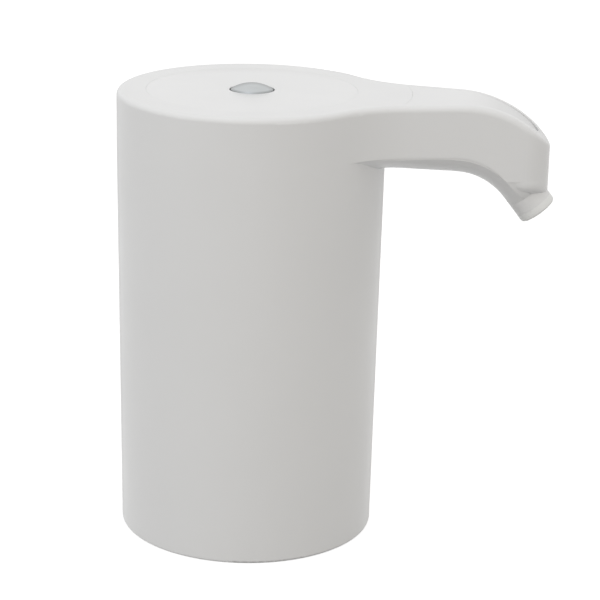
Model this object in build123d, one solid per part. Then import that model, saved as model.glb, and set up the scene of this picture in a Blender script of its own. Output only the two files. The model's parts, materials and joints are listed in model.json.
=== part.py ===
from build123d import *
import math
import os

# Rechargeable pump that sits on a water bottle's neck, with a spout arm along +X.
# Millimetres, +Z up. The origin is on the body's axis, at the rim that meets the bottle.

# Housing
body_height = 125.4
body_top_r = 37.0
body_flare = 1.2
head_depth = 15.4
wall = 2.2
top_wall = 3.2
edge_round = 1.6
foot_round = 0.8

# Spout arm: a level run from the body to the crest, then a drooping run to the nose
crest_overhang = 20.0
nose_run = 24.8
crest_half = 12.1
bend_lead = 1.4
nose_r = 8.4
arm_blend_r = 29.0
arm_top_lead = 6.7
arm_side_depth = 14.1
arm_side_r = 19.0
nose_depth = 21.0
chin_shares = (0, 0.25, 0.5, 0.75, 1)
chin_power = 3
belly_depth = 20.2
belly_r = 18.0
belly_rise = 0.85
belly_root_lap = 8.0
belly_run_shares = (0, 0.35, 0.7, 1)
belly_bend_shares = (1 / 3, 2 / 3, 1)
belly_neck = 3.0
belly_blend_power = 5
belly_crease = 0.25
belly_lap = 2.0
arm_wall = 1.8
arm_drop_angle = 52.0

# Nozzle, measured along its own axis from the end of the arm's bend
nozzle_r = 5.4
nozzle_lip_start = 6.64
nozzle_end = 8.98
nozzle_stem_start = 4.94
nozzle_stem_r = 3.8
nozzle_bore_r = 2.8
nozzle_throat = 1.8
nozzle_lip_round = 0.7
nozzle_barb_start = 0.3

# Silicone tubes
tube_r = 3.0
tube_bore_r = 2.0
barb_bore_r = 1.3
tube_room = 0.4
riser_room = 3.77
riser_bend_r = 12.0

# Inlays in the top of the head and arm
inlay_depth = 1.6
cover_margin = 8.0
cover_ledge = 3.0
cover_skirt_wall = 1.2
cover_skirt_depth = 3.2
cover_edge = 0.15
snap_reach = 0.6
snap_half = 3.0
snap_first_angle = 30.0
lid_margin = 3.4
lid_lead = 15.0
lid_droop = 1.3
seam = 0.08

# Push button
button_r = 6.1
button_dome = 1.9
button_wall = 1.2
button_flange_r = 7.4
button_flange = 1.0
button_stem_r = 1.6
button_edge = 0.4
button_gap = 0.3
guide_wall = 1.6
guide_depth = 5.3

# Control board and what is on it
board_depth = 13.8
board_thick = 1.6
board_share = 0.8186
board_front_run = 7.6
board_tongue_half = 6.5
board_tongue_back = 4.8
switch_side = 6.0
switch_height = 3.5
plunger_r = 1.7
plunger_rise = 1.0
plunger_base = 1.4
plunger_gap = 0.06
switch_travel = 0.5
socket_width = 8.9
socket_height = 3.2
socket_length = 7.4
socket_wall = 0.3
socket_tongue = 0.7
socket_tongue_half = 3.3
socket_recess = 0.6
port_room = 0.35
led_side = 2.8
led_height = 1.8
led_x = -9.5
chip_height = 1.5
chip_place = 13.5
chip_long = 5.0
chip_wide = 4.0

# Inner frame, with shares of the housing's inner radius
deck_thick = 2.0
deck_room = 0.3
leg_height = 7.6
leg_r = 3.0
leg_inset = 7.0
leg_first_angle = 90.0
boss_first_angle = 60.0
boss_r = 2.8
boss_inset = 4.32
boss_height = 12.0
post_r = 2.6
post_foot_r = 3.6
post_foot_height = 8.0
post_shares = ((-0.1784, 0.7136), (0.1189, -0.6541), (-0.6244, -0.2973))
three = 3

# Cell
cell_share = 0.2738
cell_length = 65.0
cell_angle = 144.8
cell_room = 1.8
cell_drop = 4.8
cell_gap = 0.3
cradle_room = 1.8
cradle_wall = 1.5
cradle_floor = 1.3
cradle_below = 9.2
cradle_open_angle = 130.0
cell_cap_r = 3.0
cell_cap_height = 0.8
tab_thick = 0.2
tab_half = 3.0

# Gear pump
module_share = 0.037205
gear_teeth = 10
pressure_angle = 25.0
tip_share = 0.8
root_gap = 0.3
tooth_backlash = 0.24
gear_width = 7.0
gear_end_gap = 0.1
chamber_gap = 0.06
pump_axis_room = 0.05
pump_wall = 2.69
pump_floor = 2.0
pocket_r = 2.4
ear_r = 4.2
lug_r = 2.6
lug_angle = 32.9
lug_room = 0.45
lug_reach = 2.75
gasket_thick = 0.4
pump_cover_thick = 3.0
barb_length = 5.0
barb_gap = 0.02
channel_half = 1.5
pin_r = 1.0
pin_fit = 0.04
pin_sink = 1.4
seal_r = 3.0
seal_height = 1.6

# Motor and the cup that holds it, with shares of the can's and the core's radius
can_share = 0.3631
can_length = 30.8
can_wall = 1.0
collar_r = 4.0
collar_height = 1.2
collar_room = 0.3
shaft_r = 1.0
cup_gap = 0.05
cup_wall = 1.3
cup_height = 5.0
cup_notch_room = 0.9
magnet_share = 0.164
magnet_length = 20.0
magnet_low = 4.0
magnet_angle = 130.0
magnet_gap = 0.5
core_length = 16.0
core_low = 6.0
core_stem_share = 0.3
core_web_half = 1.3
core_shoe_share = 0.172
core_slot_half = 1.0
coil_half_share = 0.414
coil_gap = 0.15
coil_lead = 0.3
coil_angle = 57.3
coil_inner_share = 0.39
coil_over = 1.6
commutator_r = 3.0
commutator_length = 4.2
commutator_low = 23.8
end_cap_thick = 2.4
end_cap_rise = 1.4
terminal_half = 1.4
terminal_thick = 0.4
terminal_height = 4.5
terminal_inset = 4.2
brush_thick = 0.3
brush_half = 1.2
brush_length = 4.0

# Base plate, bottle socket and hose spigot
plate_thick = 2.4
plate_room = 0.3
socket_margin = 7.8
socket_depth = 12.5
liner_wall = 1.35
liner_low_z = 0.5
liner_lip = 1.2
liner_lip_reach = 2.6
liner_step = 0.6
liner_gap = 0.1
sleeve_wall = 1.8
sleeve_low_z = 1.8
rib_thick = 1.2
rib_low_z = 4.0
rib_count = 12
spigot_r = 4.0
spigot_bore_r = 2.5
spigot_length = 11.6

# Screws
screw_r = 1.0
screw_head_r = 2.0
screw_head = 1.4
screw_round = 0.45
screw_bite = 6.0
board_bite = 5.0
screw_gap = 0.2
thread_gap = 0.02
drive_half = 0.3
drive_depth = 0.7

overrun = 1.0
up_share = 0.5

# Levels and places that follow from the sizes above
body_base_r = body_top_r - body_flare
inner_r = body_base_r - wall
crest_x = body_top_r + crest_overhang
bend_x = crest_x - bend_lead
arm_reach = crest_x + nose_run
arm_top_r = nose_run + arm_top_lead
bend_z = body_height - belly_depth - belly_r
tube_ring_r = belly_r + nozzle_r
tube_z = bend_z + tube_ring_r
side_z = body_height - arm_side_depth
nose_low_z = body_height - nose_depth
head_z = body_height - head_depth
cover_r = body_top_r - cover_margin
board_top_z = body_height - board_depth
board_low_z = board_top_z - board_thick
chamber_depth = gear_width + gear_end_gap + gear_end_gap
pump_stack = pump_floor + chamber_depth + gasket_thick + pump_cover_thick
motor_stack = deck_thick + pump_stack + can_length + terminal_height
deck_bottom_z = board_low_z - cell_room - max(cell_length - cell_drop, motor_stack)
deck_top_z = deck_bottom_z + deck_thick
cell_bottom_z = deck_bottom_z - cell_drop
cell_top_z = cell_bottom_z + cell_length
cradle_top_z = cell_top_z - cradle_below
plate_top_z = deck_bottom_z - leg_height
plate_bottom_z = plate_top_z - plate_thick
liner_top_z = plate_bottom_z - socket_depth
spigot_low_z = plate_bottom_z - spigot_length
chamber_z = deck_top_z + pump_floor
pump_top_z = chamber_z + chamber_depth
cover_z = pump_top_z + gasket_thick
motor_z = cover_z + pump_cover_thick
motor_end_z = motor_z + can_length
nose_x = arm_reach - nose_r
board_r = inner_r * board_share
socket_bore_r = body_base_r - socket_margin
leg_ring_r = socket_bore_r - leg_inset
cell_r = inner_r * cell_share
cradle_r = cell_r + cell_gap + cradle_wall
cell_ring_r = inner_r - cradle_r - cradle_room
cell_x = cell_ring_r * math.cos(math.radians(cell_angle))
cell_y = cell_ring_r * math.sin(math.radians(cell_angle))
gear_module = inner_r * module_share
pitch_r = gear_module * gear_teeth / 2
tip_r = pitch_r + gear_module * tip_share
root_r = pitch_r - gear_module * tip_share - root_gap
chamber_r = tip_r + chamber_gap
pump_wall_r = chamber_r + pump_wall
pump_axis_x = pitch_r + pump_axis_room
drive_place = (pump_axis_x, -pitch_r)
idler_place = (pump_axis_x, pitch_r)
can_r = inner_r * can_share
riser_x = pump_axis_x + math.sqrt((can_r + riser_room) ** 2 - pitch_r ** 2)
magnet_r = can_r - can_wall - can_r * magnet_share
core_r = magnet_r - magnet_gap
core_shoe_r = core_r - core_r * core_shoe_share
terminal_r = can_r - terminal_inset
ledge_z = body_height - inlay_depth
ceiling_z = body_height - top_wall
flange_top_z = ledge_z - guide_depth - button_gap
button_low_z = flange_top_z - button_flange
button_bore_r = button_r + button_gap


def rod(x, y, low_z, high_z, radius):
    """Upright cylinder between two levels."""
    stand = (Align.CENTER, Align.CENTER, Align.MIN)
    return Pos(x, y, low_z) * Cylinder(radius, high_z - low_z, align=stand)


def block(low, high):
    """Box between two corners."""
    middle = [(a + b) / 2 for a, b in zip(low, high)]
    size = [b - a for a, b in zip(low, high)]
    return Pos(*middle) * Box(*size)


def turned(points):
    """Solid of revolution about Z from (radius, height) corners."""
    return revolve(make_face(Polyline([(r, 0, z) for r, z in points], close=True)), Axis.Z)


def raised(face, low_z, high_z):
    """A plan outline drawn up between two levels."""
    return Pos(0, 0, low_z) * extrude(face, amount=high_z - low_z)


def ring_places(radius, first_angle, count=three):
    """Evenly spaced places on a circle about the body's axis."""
    angles = [math.radians(first_angle + 360 * i / count) for i in range(count)]
    return [(radius * math.cos(a), radius * math.sin(a)) for a in angles]


def wedge_face(angle, reach):
    """Triangle that opens along +X by an angle, out past a radius."""
    half = reach * math.tan(math.radians(angle / 2))
    return make_face(Polyline((0, 0), (reach, half), (reach, -half), close=True))


def side_lean():
    """Angle by which the arm's sides close in towards the nose, in degrees."""
    run = nose_x - crest_x
    span = math.hypot(run, crest_half)
    return math.degrees(math.acos(nose_r / span) + math.atan2(crest_half, run)) - 90


def plan_angles(inset):
    """Lean of the sides and the angle at which the blend arc leaves the body."""
    lean = side_lean()
    side_reach = nose_x * math.sin(math.radians(lean)) + nose_r - inset
    blend_r = arm_blend_r + inset
    centre_r = body_top_r - inset + blend_r
    turn = math.degrees(math.asin((side_reach + blend_r) / centre_r)) - lean
    return lean, turn


def plan_outline(inset=0):
    """Head and arm seen from above, all moved inward by inset."""
    lean, turn = plan_angles(inset)
    body_r = body_top_r - inset
    blend_r = arm_blend_r + inset
    bx = (body_r + blend_r) * math.cos(math.radians(turn))
    by = (body_r + blend_r) * math.sin(math.radians(turn))
    sweep_angle = 90 - lean - turn
    back = CenterArc((0, 0), body_r, turn, 360 - 2 * turn)
    nose = CenterArc((nose_x, 0), nose_r - inset, lean - 90, 180 - 2 * lean)
    left = CenterArc((bx, by), blend_r, 180 + turn, sweep_angle)
    right = CenterArc((bx, -by), blend_r, 90 + lean, sweep_angle)
    sides = [Line(left @ 1, nose @ 1), Line(nose @ 0, right @ 0)]
    return make_face([back, left, nose, right] + sides)


def half_width(x):
    """Half the arm's width at a distance x from the body's axis."""
    lean, turn = plan_angles(0)
    centre_r = body_top_r + arm_blend_r
    bx = centre_r * math.cos(math.radians(turn))
    by = centre_r * math.sin(math.radians(turn))
    if x < bx - arm_blend_r * math.sin(math.radians(lean)):
        return by - math.sqrt(arm_blend_r ** 2 - (bx - x) ** 2)
    side_reach = nose_x * math.sin(math.radians(lean)) + nose_r
    return (side_reach - x * math.sin(math.radians(lean))) / math.cos(math.radians(lean))


def side_region(top, low, end_z, back_x, front_x):
    """Slab across the part between two lines, each given by where it starts to droop and its radius."""
    top_x, top_z, top_r = top
    low_x, low_z, low_r = low
    low_turn = math.degrees(math.acos((end_z - low_z + low_r) / low_r))
    top_turn = math.degrees(math.asin((front_x - top_x) / top_r))
    low_arc = CenterArc((low_x, low_z - low_r), low_r, 90, -low_turn)
    top_arc = CenterArc((top_x, top_z - top_r), top_r, 90 - top_turn, top_turn)
    edges = [
        Line((back_x, low_z), (low_x, low_z)),
        low_arc,
        Line(low_arc @ 1, (front_x, end_z)),
        Line((front_x, end_z), top_arc @ 0),
        top_arc,
        Line((top_x, top_z), (back_x, top_z)),
        Line((back_x, top_z), (back_x, low_z)),
    ]
    return extrude(Plane.XZ * make_face(edges), amount=body_top_r + overrun, both=True)


def bend_plane(angle, radius):
    """Plane across the arm's bend: its Z follows the water, its Y points up and out of the bend."""
    turn = math.radians(angle)
    origin = (bend_x + radius * math.sin(turn), 0, bend_z + radius * math.cos(turn))
    return Plane(origin=origin, x_dir=(0, 1, 0), z_dir=(math.cos(turn), 0, -math.sin(turn)))


def nozzle_rod(start, end, radius):
    """Cylinder on the nozzle's axis."""
    plane = bend_plane(arm_drop_angle, tube_ring_r).offset(start)
    return extrude(plane * Circle(radius), amount=end - start)


def belly_section(plane, half, depth):
    """Rounded underside of the arm at one station."""
    bowl = ThreePointArc((-half, depth), (0, 0), (half, depth))
    rim = depth + belly_lap
    walls = Polyline((half, depth), (half, rim), (-half, rim), (-half, depth))
    return plane * make_face([bowl, walls])


def side_edge_r(angle):
    """Distance from the bend's centre to the lower edge of the arm's sides, at an angle of the bend."""
    turn = math.radians(angle)
    offset = side_z - arm_side_r - bend_z
    return offset * math.cos(turn) + math.sqrt(arm_side_r ** 2 - (offset * math.sin(turn)) ** 2)


def belly():
    """Underside of the arm, from the body to the round nozzle."""
    depth = belly_depth - arm_side_depth
    root_x = body_top_r - belly_root_lap
    bend_run = belly_r * math.radians(arm_drop_angle)
    sections = []
    for share in belly_run_shares:
        x = root_x + (bend_x - root_x) * share
        deep = depth - belly_rise * (1 - share)
        plane = Plane(origin=(x, 0, side_z - deep), x_dir=(0, 1, 0), z_dir=(1, 0, 0))
        sections.append(belly_section(plane, half_width(x) + belly_crease, deep))
    for share in belly_bend_shares:
        angle = arm_drop_angle * share
        rim_r = side_edge_r(angle)
        x = bend_x + rim_r * math.sin(math.radians(angle))
        blend = (share * bend_run / (bend_run + belly_neck)) ** belly_blend_power
        half = (half_width(x) + belly_crease) * (1 - blend) + nozzle_r * blend
        deep = (rim_r - belly_r) * (1 - blend) + nozzle_r * blend
        sections.append(belly_section(bend_plane(angle, belly_r), half, deep))
    neck_plane = bend_plane(arm_drop_angle, belly_r).offset(belly_neck)
    sections.append(belly_section(neck_plane, nozzle_r, nozzle_r))
    return loft(sections) & raised(plan_outline(belly_crease), bend_z, side_z + belly_lap)


def chin():
    """Underside of the nose, drawn in from its round front to the nozzle's own section."""
    axis = bend_plane(arm_drop_angle, tube_ring_r).origin
    drop = math.radians(arm_drop_angle)
    long_r = nozzle_r / math.sin(drop)
    low_z = axis.Z - (arm_reach - long_r - axis.X) * math.tan(drop)
    sections = []
    for share in chin_shares:
        long_half = nose_r + (long_r - nose_r) * share
        wide_half = nose_r + (nozzle_r - nose_r) * share ** chin_power
        z = nose_low_z + (low_z - nose_low_z) * share
        sections.append(Pos(arm_reach - long_half, 0, z) * Ellipse(long_half, wide_half))
    return loft(sections)


def tube_path(start_z, straight_end):
    """Way of the outlet tube: up, over into the arm, round its bend and down the nozzle."""
    riser_end = tube_z - riser_bend_r
    elbow = CenterArc((riser_x + riser_bend_r, riser_end), riser_bend_r, 180, -90)
    drop = CenterArc((bend_x, bend_z), tube_ring_r, 90, -arm_drop_angle)
    turn = math.radians(arm_drop_angle)
    ahead = Vector(straight_end * math.cos(turn), -straight_end * math.sin(turn))
    edges = [
        Line((riser_x, start_z), elbow @ 0),
        elbow,
        Line(elbow @ 1, drop @ 0),
        drop,
        Line(drop @ 1, (drop @ 1) + ahead),
    ]
    return Plane.XZ * Wire(edges)


def swept_rod(path, radius):
    """Round rod along a path."""
    return sweep(Plane(origin=path @ 0, z_dir=path % 0) * Circle(radius), path=path)


def arm_channel():
    """Room for the outlet tube inside the arm."""
    drop = CenterArc((bend_x, bend_z), tube_ring_r, 90, -arm_drop_angle)
    path = Plane.XZ * Wire([Line((body_base_r - wall - wall, tube_z), drop @ 0), drop])
    return swept_rod(path, tube_r + tube_room) + nozzle_rod(0, nozzle_stem_start, tube_r + tube_room)


def body_r_at(z):
    """Outer radius of the housing at a level."""
    return body_base_r + (body_top_r - body_base_r) * min(z / head_z, 1)


def head():
    """Top of the housing and the arm's sides, with the rounded top edge."""
    front_x = arm_reach + overrun
    top = (crest_x, body_height, arm_top_r)
    low = (bend_x, side_z, arm_side_r)
    region = side_region(top, low, nose_low_z, -body_top_r - overrun, front_x)
    solid = raised(plan_outline(), nose_low_z, body_height) & region
    tops = solid.faces().filter_by(lambda f: f.normal_at().Z > up_share)
    rims = [e for e in tops.edges() if [e in f.edges() for f in tops].count(True) == 1]
    return fillet(rims, edge_round)


def outer_shell():
    """Housing: body, head and arm in one moulding."""
    body = turned([(0, 0), (body_base_r, 0), (body_top_r, head_z), (body_top_r, side_z), (0, side_z)])
    body = fillet(body.edges().sort_by(Axis.Z)[0], foot_round)
    shroud = nozzle_rod(-belly_lap, nozzle_lip_start, nozzle_r)
    solid = body + head() + belly() + chin() + shroud
    solid -= shell_cavity()
    solid -= rod(0, 0, ceiling_z - overrun, body_height + overrun, cover_r - cover_ledge)
    solid -= rod(0, 0, ledge_z, body_height + overrun, cover_r)
    solid -= lid_shape(-seam, 0, body_height + overrun, arm_top_r + overrun)
    solid -= nozzle_rod(nozzle_stem_start, nozzle_end, nozzle_stem_r + seam)
    solid -= port_cutter(port_room)
    return solid + shell_bosses()


def shell_cavity():
    """Hollow of the housing with the arm's duct and the tube's channel."""
    base_in = body_base_r - wall
    top_in = body_top_r - wall
    hollow = turned([(0, 0), (base_in, 0), (top_in, head_z), (top_in, ceiling_z), (0, ceiling_z)])
    top = (crest_x, ceiling_z, arm_top_r - top_wall)
    low = (bend_x, side_z, side_z - bend_z)
    duct = side_region(top, low, nose_low_z + arm_wall, 0, arm_reach)
    duct = duct & raised(plan_outline(arm_wall), nose_low_z, ceiling_z)
    return hollow + duct + arm_channel()


def shell_bosses():
    """Three screw bosses on the inner wall, above the frame's deck."""
    top_z = deck_top_z + boss_height
    wall_r = body_r_at(deck_top_z) - wall / 2
    bosses = []
    for x, y in boss_places():
        rib = block((boss_ring_r(), -boss_r, deck_top_z), (wall_r + overrun, boss_r, top_z))
        rib = Rot(0, 0, math.degrees(math.atan2(y, x))) * rib & rod(0, 0, deck_top_z, top_z, wall_r)
        boss = rod(x, y, deck_top_z, top_z, boss_r) + rib
        hole_z = deck_top_z + screw_bite + screw_gap
        bosses.append(boss - rod(x, y, deck_top_z, hole_z, screw_r + thread_gap))
    return bosses


def boss_ring_r():
    """Ring of the screws between deck and housing."""
    return body_r_at(deck_bottom_z) - wall - boss_inset


def boss_places():
    """Where the deck is screwed to the housing."""
    return ring_places(boss_ring_r(), boss_first_angle)


def lid_shape(margin_gap, depth_gap, top_z, top_r):
    """Strip along the arm's top, with its edges moved inward by margin_gap."""
    outline = plan_outline(lid_margin + margin_gap) - Circle(cover_r + lid_lead + margin_gap)
    low_z = body_height - inlay_depth + depth_gap
    low_r = arm_top_r - inlay_depth + depth_gap
    end_z = low_z - low_r + math.sqrt(low_r ** 2 - (arm_reach - crest_x) ** 2)
    region = side_region((crest_x, top_z, top_r), (crest_x, low_z, low_r), end_z, 0, arm_reach + overrun)
    return raised(outline, nose_low_z, body_height + overrun) & region


def spout_lid():
    """Lid strip, flush with the arm's level top and sinking into it along the droop."""
    return lid_shape(0, thread_gap, body_height, arm_top_r - lid_droop)


def top_cover():
    """Round cover with the guide for the button and a skirt that snaps under the ceiling."""
    disc = rod(0, 0, ledge_z, body_height, cover_r - seam)
    guide = rod(0, 0, ledge_z - guide_depth, ledge_z, button_bore_r + guide_wall)
    skirt_r = cover_r - cover_ledge - button_gap
    skirt_low_z = ledge_z - cover_skirt_depth
    skirt = rod(0, 0, skirt_low_z, ledge_z, skirt_r)
    skirt += cover_snaps(skirt_r, skirt_low_z)
    skirt -= rod(0, 0, skirt_low_z, ledge_z, skirt_r - cover_skirt_wall)
    solid = disc + guide + skirt - rod(0, 0, ledge_z - guide_depth, body_height, button_bore_r)
    return fillet(solid.edges().group_by(Axis.Z)[-1], cover_edge)


def cover_snaps(skirt_r, low_z):
    """Three hooks on the skirt that catch under the housing's ceiling."""
    hooks = []
    for x, y in ring_places(skirt_r, snap_first_angle):
        bar = block((0, -snap_half, low_z), (skirt_r + overrun, snap_half, ceiling_z - button_gap))
        hooks.append(Rot(0, 0, math.degrees(math.atan2(y, x))) * bar)
    rim = rod(0, 0, low_z, ceiling_z - button_gap, skirt_r + snap_reach)
    return [hook & rim for hook in hooks]


def button_cap():
    """Domed push button with its retaining flange and stem."""
    rise = button_dome
    dome_r = (button_r ** 2 + rise ** 2) / (2 * rise)
    dome = Pos(0, 0, body_height + rise - dome_r) * Sphere(dome_r)
    dome = dome & rod(0, 0, body_height, body_height + rise + overrun, button_r)
    cap = rod(0, 0, button_low_z, body_height, button_r) + dome
    flange = rod(0, 0, button_low_z, flange_top_z, button_flange_r)
    cap += fillet(flange.edges(), button_edge)
    cap -= rod(0, 0, button_low_z, body_height - button_wall, button_r - button_wall)
    stem_low_z = board_top_z + switch_height + plunger_rise + plunger_gap
    return cap + rod(0, 0, stem_low_z, body_height, button_stem_r)


def control_board():
    """Board under the button, cut back for the tube and drawn out to the charging port."""
    disc = rod(0, 0, board_low_z, board_top_z, board_r)
    back_x = -(body_top_r - wall - board_tongue_back)
    tongue = block((back_x, -board_tongue_half, board_low_z), (0, board_tongue_half, board_top_z))
    disc -= block((riser_x - board_front_run, -board_r, board_low_z), (board_r, board_r, board_top_z))
    solid = disc + tongue
    for x, y in post_places():
        solid -= rod(x, y, board_low_z, board_top_z, screw_r + screw_gap)
    return solid


def post_places():
    """Where the frame's posts carry the board."""
    return [(inner_r * x_share, inner_r * y_share) for x_share, y_share in post_shares]


def switch_body():
    """Case of the push switch."""
    half = switch_side / 2
    case = block((-half, -half, board_top_z), (half, half, board_top_z + switch_height))
    return case - rod(
        0, 0, board_top_z + plunger_base - switch_travel - plunger_gap,
        board_top_z + switch_height, plunger_r + plunger_gap
    )


def switch_plunger():
    """Plunger that the button's stem presses."""
    return rod(0, 0, board_top_z + plunger_base, board_top_z + switch_height + plunger_rise, plunger_r)


def stadium(half_long, half_high):
    """Rounded slot outline for the charging port, seen along the port."""
    return SlotOverall(2 * half_long, 2 * half_high)


def port_plane(x):
    """Plane across the charging port."""
    mid_z = board_top_z + socket_height / 2
    return Plane(origin=(x, 0, mid_z), x_dir=(0, 1, 0), z_dir=(1, 0, 0))


def port_start_x():
    """Where the charging socket's mouth lies, just inside the housing's wall."""
    return -(body_top_r - wall) + socket_recess


def port_cutter(room):
    """Opening for the charging plug in the housing's back."""
    face = port_plane(-body_top_r - overrun) * stadium(socket_width / 2 + room, socket_height / 2 + room)
    return extrude(face, amount=wall + overrun + overrun)


def charging_socket():
    """Metal sleeve of the charging socket with its tongue."""
    start = port_start_x()
    outer = extrude(port_plane(start) * stadium(socket_width / 2, socket_height / 2), amount=socket_length)
    inner = port_plane(start) * stadium(socket_width / 2 - socket_wall, socket_height / 2 - socket_wall)
    shell = outer - extrude(inner, amount=socket_length - socket_wall)
    tongue = port_plane(start + socket_wall) * Rectangle(2 * socket_tongue_half, socket_tongue)
    return shell + extrude(tongue, amount=socket_length - socket_wall)


def status_led():
    """Indicator light beside the switch."""
    half = led_side / 2
    return block((led_x - half, -half, board_top_z), (led_x + half, half, board_top_z + led_height))


def board_parts():
    """Charging chip, driver chip and protection chip, as separate solids."""
    chips = []
    for x, y in ring_places(chip_place, boss_first_angle):
        low = (x - chip_long / 2, y - chip_wide / 2, board_top_z)
        chips.append(block(low, (x + chip_long / 2, y + chip_wide / 2, board_top_z + chip_height)))
    return Compound(chips)


def screw(x, y, seat_z, length, down=True):
    """Pan-head screw with a cross recess; its head rests on seat_z."""
    head_part = rod(0, 0, 0, screw_head, screw_head_r)
    head_part = fillet(head_part.edges().sort_by(Axis.Z)[-1], screw_round)
    shank = rod(0, 0, -length, 0, screw_r)
    reach = screw_head_r / 2
    slot = block((-reach, -drive_half, screw_head - drive_depth), (reach, drive_half, screw_head))
    solid = head_part + shank - slot - Rot(0, 0, 90) * slot
    return Pos(x, y, seat_z) * (solid if down else Rot(180, 0, 0) * solid)


def inner_frame():
    """Carrier for pump, cell and board: deck, legs, posts and the cell's cradle."""
    deck = rod(0, 0, deck_bottom_z, deck_top_z, body_r_at(deck_bottom_z) - wall - deck_room)
    cup_low_z = cell_bottom_z - cradle_floor
    solid = deck + rod(cell_x, cell_y, cup_low_z, cradle_top_z, cradle_r)
    for x, y in post_places():
        solid += rod(x, y, deck_bottom_z, board_low_z, post_r)
        solid += rod(x, y, deck_top_z, deck_top_z + post_foot_height, post_foot_r)
    for x, y in leg_places():
        solid += rod(x, y, plate_top_z, deck_bottom_z, leg_r)
    solid -= rod(cell_x, cell_y, cell_bottom_z - tab_thick, cradle_top_z, cell_r + cell_gap)
    solid -= cradle_opening()
    solid -= rod(0, 0, deck_bottom_z, deck_top_z, tube_r + cradle_wall)
    for x, y in post_places():
        solid -= rod(x, y, board_low_z - board_bite - screw_gap, board_low_z, screw_r + thread_gap)
    for x, y in leg_places():
        solid -= rod(x, y, plate_top_z, plate_top_z + screw_bite, screw_r + thread_gap)
    for x, y in boss_places():
        solid -= rod(x, y, deck_bottom_z, deck_top_z, screw_r + screw_gap)
    for x, y in lug_places():
        solid -= rod(x, y, deck_bottom_z, deck_top_z, screw_r + thread_gap)
    return solid


def leg_places():
    """Where the frame's legs stand on the base plate."""
    return ring_places(leg_ring_r, leg_first_angle)


def cradle_opening():
    """Open side of the cradle, towards the housing's wall, above the deck."""
    wedge = wedge_face(cradle_open_angle, cradle_r + overrun)
    low_z = deck_top_z + post_foot_height
    return Pos(cell_x, cell_y, 0) * Rot(0, 0, cell_angle) * raised(wedge, low_z, cradle_top_z)


def battery_cell():
    """Rechargeable cell with its raised end cap."""
    shoulder_z = cell_top_z - cell_cap_height
    body = rod(cell_x, cell_y, cell_bottom_z, shoulder_z, cell_r)
    body = fillet(body.edges(), cell_cap_height)
    return body + rod(cell_x, cell_y, shoulder_z, cell_top_z, cell_cap_r)


def cell_tabs():
    """Welded strips on the cell's two ends."""
    low_z = cell_bottom_z - tab_thick
    top = block((-tab_half, -tab_half, cell_top_z), (cell_r, tab_half, cell_top_z + tab_thick))
    low = block((-tab_half, -tab_half, low_z), (tab_half, tab_half, cell_bottom_z))
    return Pos(cell_x, cell_y, 0) * Compound([top, low])


def lug_places():
    """Screw lugs of the pump, clear of the motor."""
    reach = can_r + screw_head_r + lug_room
    x = reach * math.cos(math.radians(lug_angle))
    y = -pitch_r - reach * math.sin(math.radians(lug_angle))
    far_y = pitch_r + pump_wall_r + lug_reach
    return [(pump_axis_x - x, y), (pump_axis_x + x, y), (pump_axis_x, far_y)]


def pump_outline():
    """Outline shared by the pump's body, gasket and cover."""
    face = Rectangle(2 * pump_wall_r, 2 * pitch_r)
    for y in (-pitch_r, pitch_r):
        face += Pos(0, y) * Circle(pump_wall_r)
    face = Pos(pump_axis_x, 0) * face
    face += Pos((pump_axis_x + riser_x) / 2, 0) * Rectangle(riser_x - pump_axis_x, 2 * ear_r)
    face += Pos(riser_x, 0) * Circle(ear_r)
    for x, y in lug_places():
        centre_y = math.copysign(pitch_r, y)
        arm_length = math.hypot(x - pump_axis_x, y - centre_y)
        turn = math.degrees(math.atan2(y - centre_y, x - pump_axis_x))
        bar = Pos(arm_length / 2, 0) * Rectangle(arm_length, 2 * lug_r)
        face += Pos(pump_axis_x, centre_y) * Rot(0, 0, turn) * bar
        face += Pos(x, y) * Circle(lug_r)
    return face


def chamber_outline():
    """The two gear bores with the inlet and outlet pockets between them."""
    face = Pos(*drive_place) * Circle(chamber_r) + Pos(*idler_place) * Circle(chamber_r)
    face += Pos(pump_axis_x, 0) * Rectangle(2 * pump_axis_x, 2 * channel_half)
    face += Circle(pocket_r)
    return face + Pos(2 * pump_axis_x, 0) * Circle(pocket_r)


def outlet_channel():
    """Passage from the outlet pocket to the riser."""
    run = riser_x - 2 * pump_axis_x
    face = Pos(2 * pump_axis_x + run / 2, 0) * Rectangle(run, 2 * channel_half)
    return face + Pos(riser_x, 0) * Circle(channel_half)


def pump_body():
    """Gear chamber with the inlet barb under it."""
    solid = raised(pump_outline(), deck_top_z, pump_top_z)
    solid -= raised(chamber_outline(), chamber_z, pump_top_z)
    solid -= raised(outlet_channel(), chamber_z, pump_top_z)
    barb_low_z = deck_top_z - barb_length + channel_half
    solid += rod(0, 0, barb_low_z, deck_top_z, tube_bore_r - barb_gap)
    solid -= rod(0, 0, barb_low_z, chamber_z, barb_bore_r)
    solid -= rod(*idler_place, chamber_z - pin_sink, chamber_z, pin_r + thread_gap)
    solid -= rod(*drive_place, chamber_z - pin_sink, chamber_z, shaft_r + pin_fit)
    for x, y in lug_places():
        solid -= rod(x, y, deck_top_z, pump_top_z, screw_r + screw_gap)
    return solid


def pump_gasket():
    """Flat seal under the pump's cover."""
    face = pump_outline() - chamber_outline() - outlet_channel()
    for x, y in lug_places():
        face -= Pos(x, y) * Circle(screw_r + screw_gap)
    return raised(face, pump_top_z, cover_z)


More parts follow.
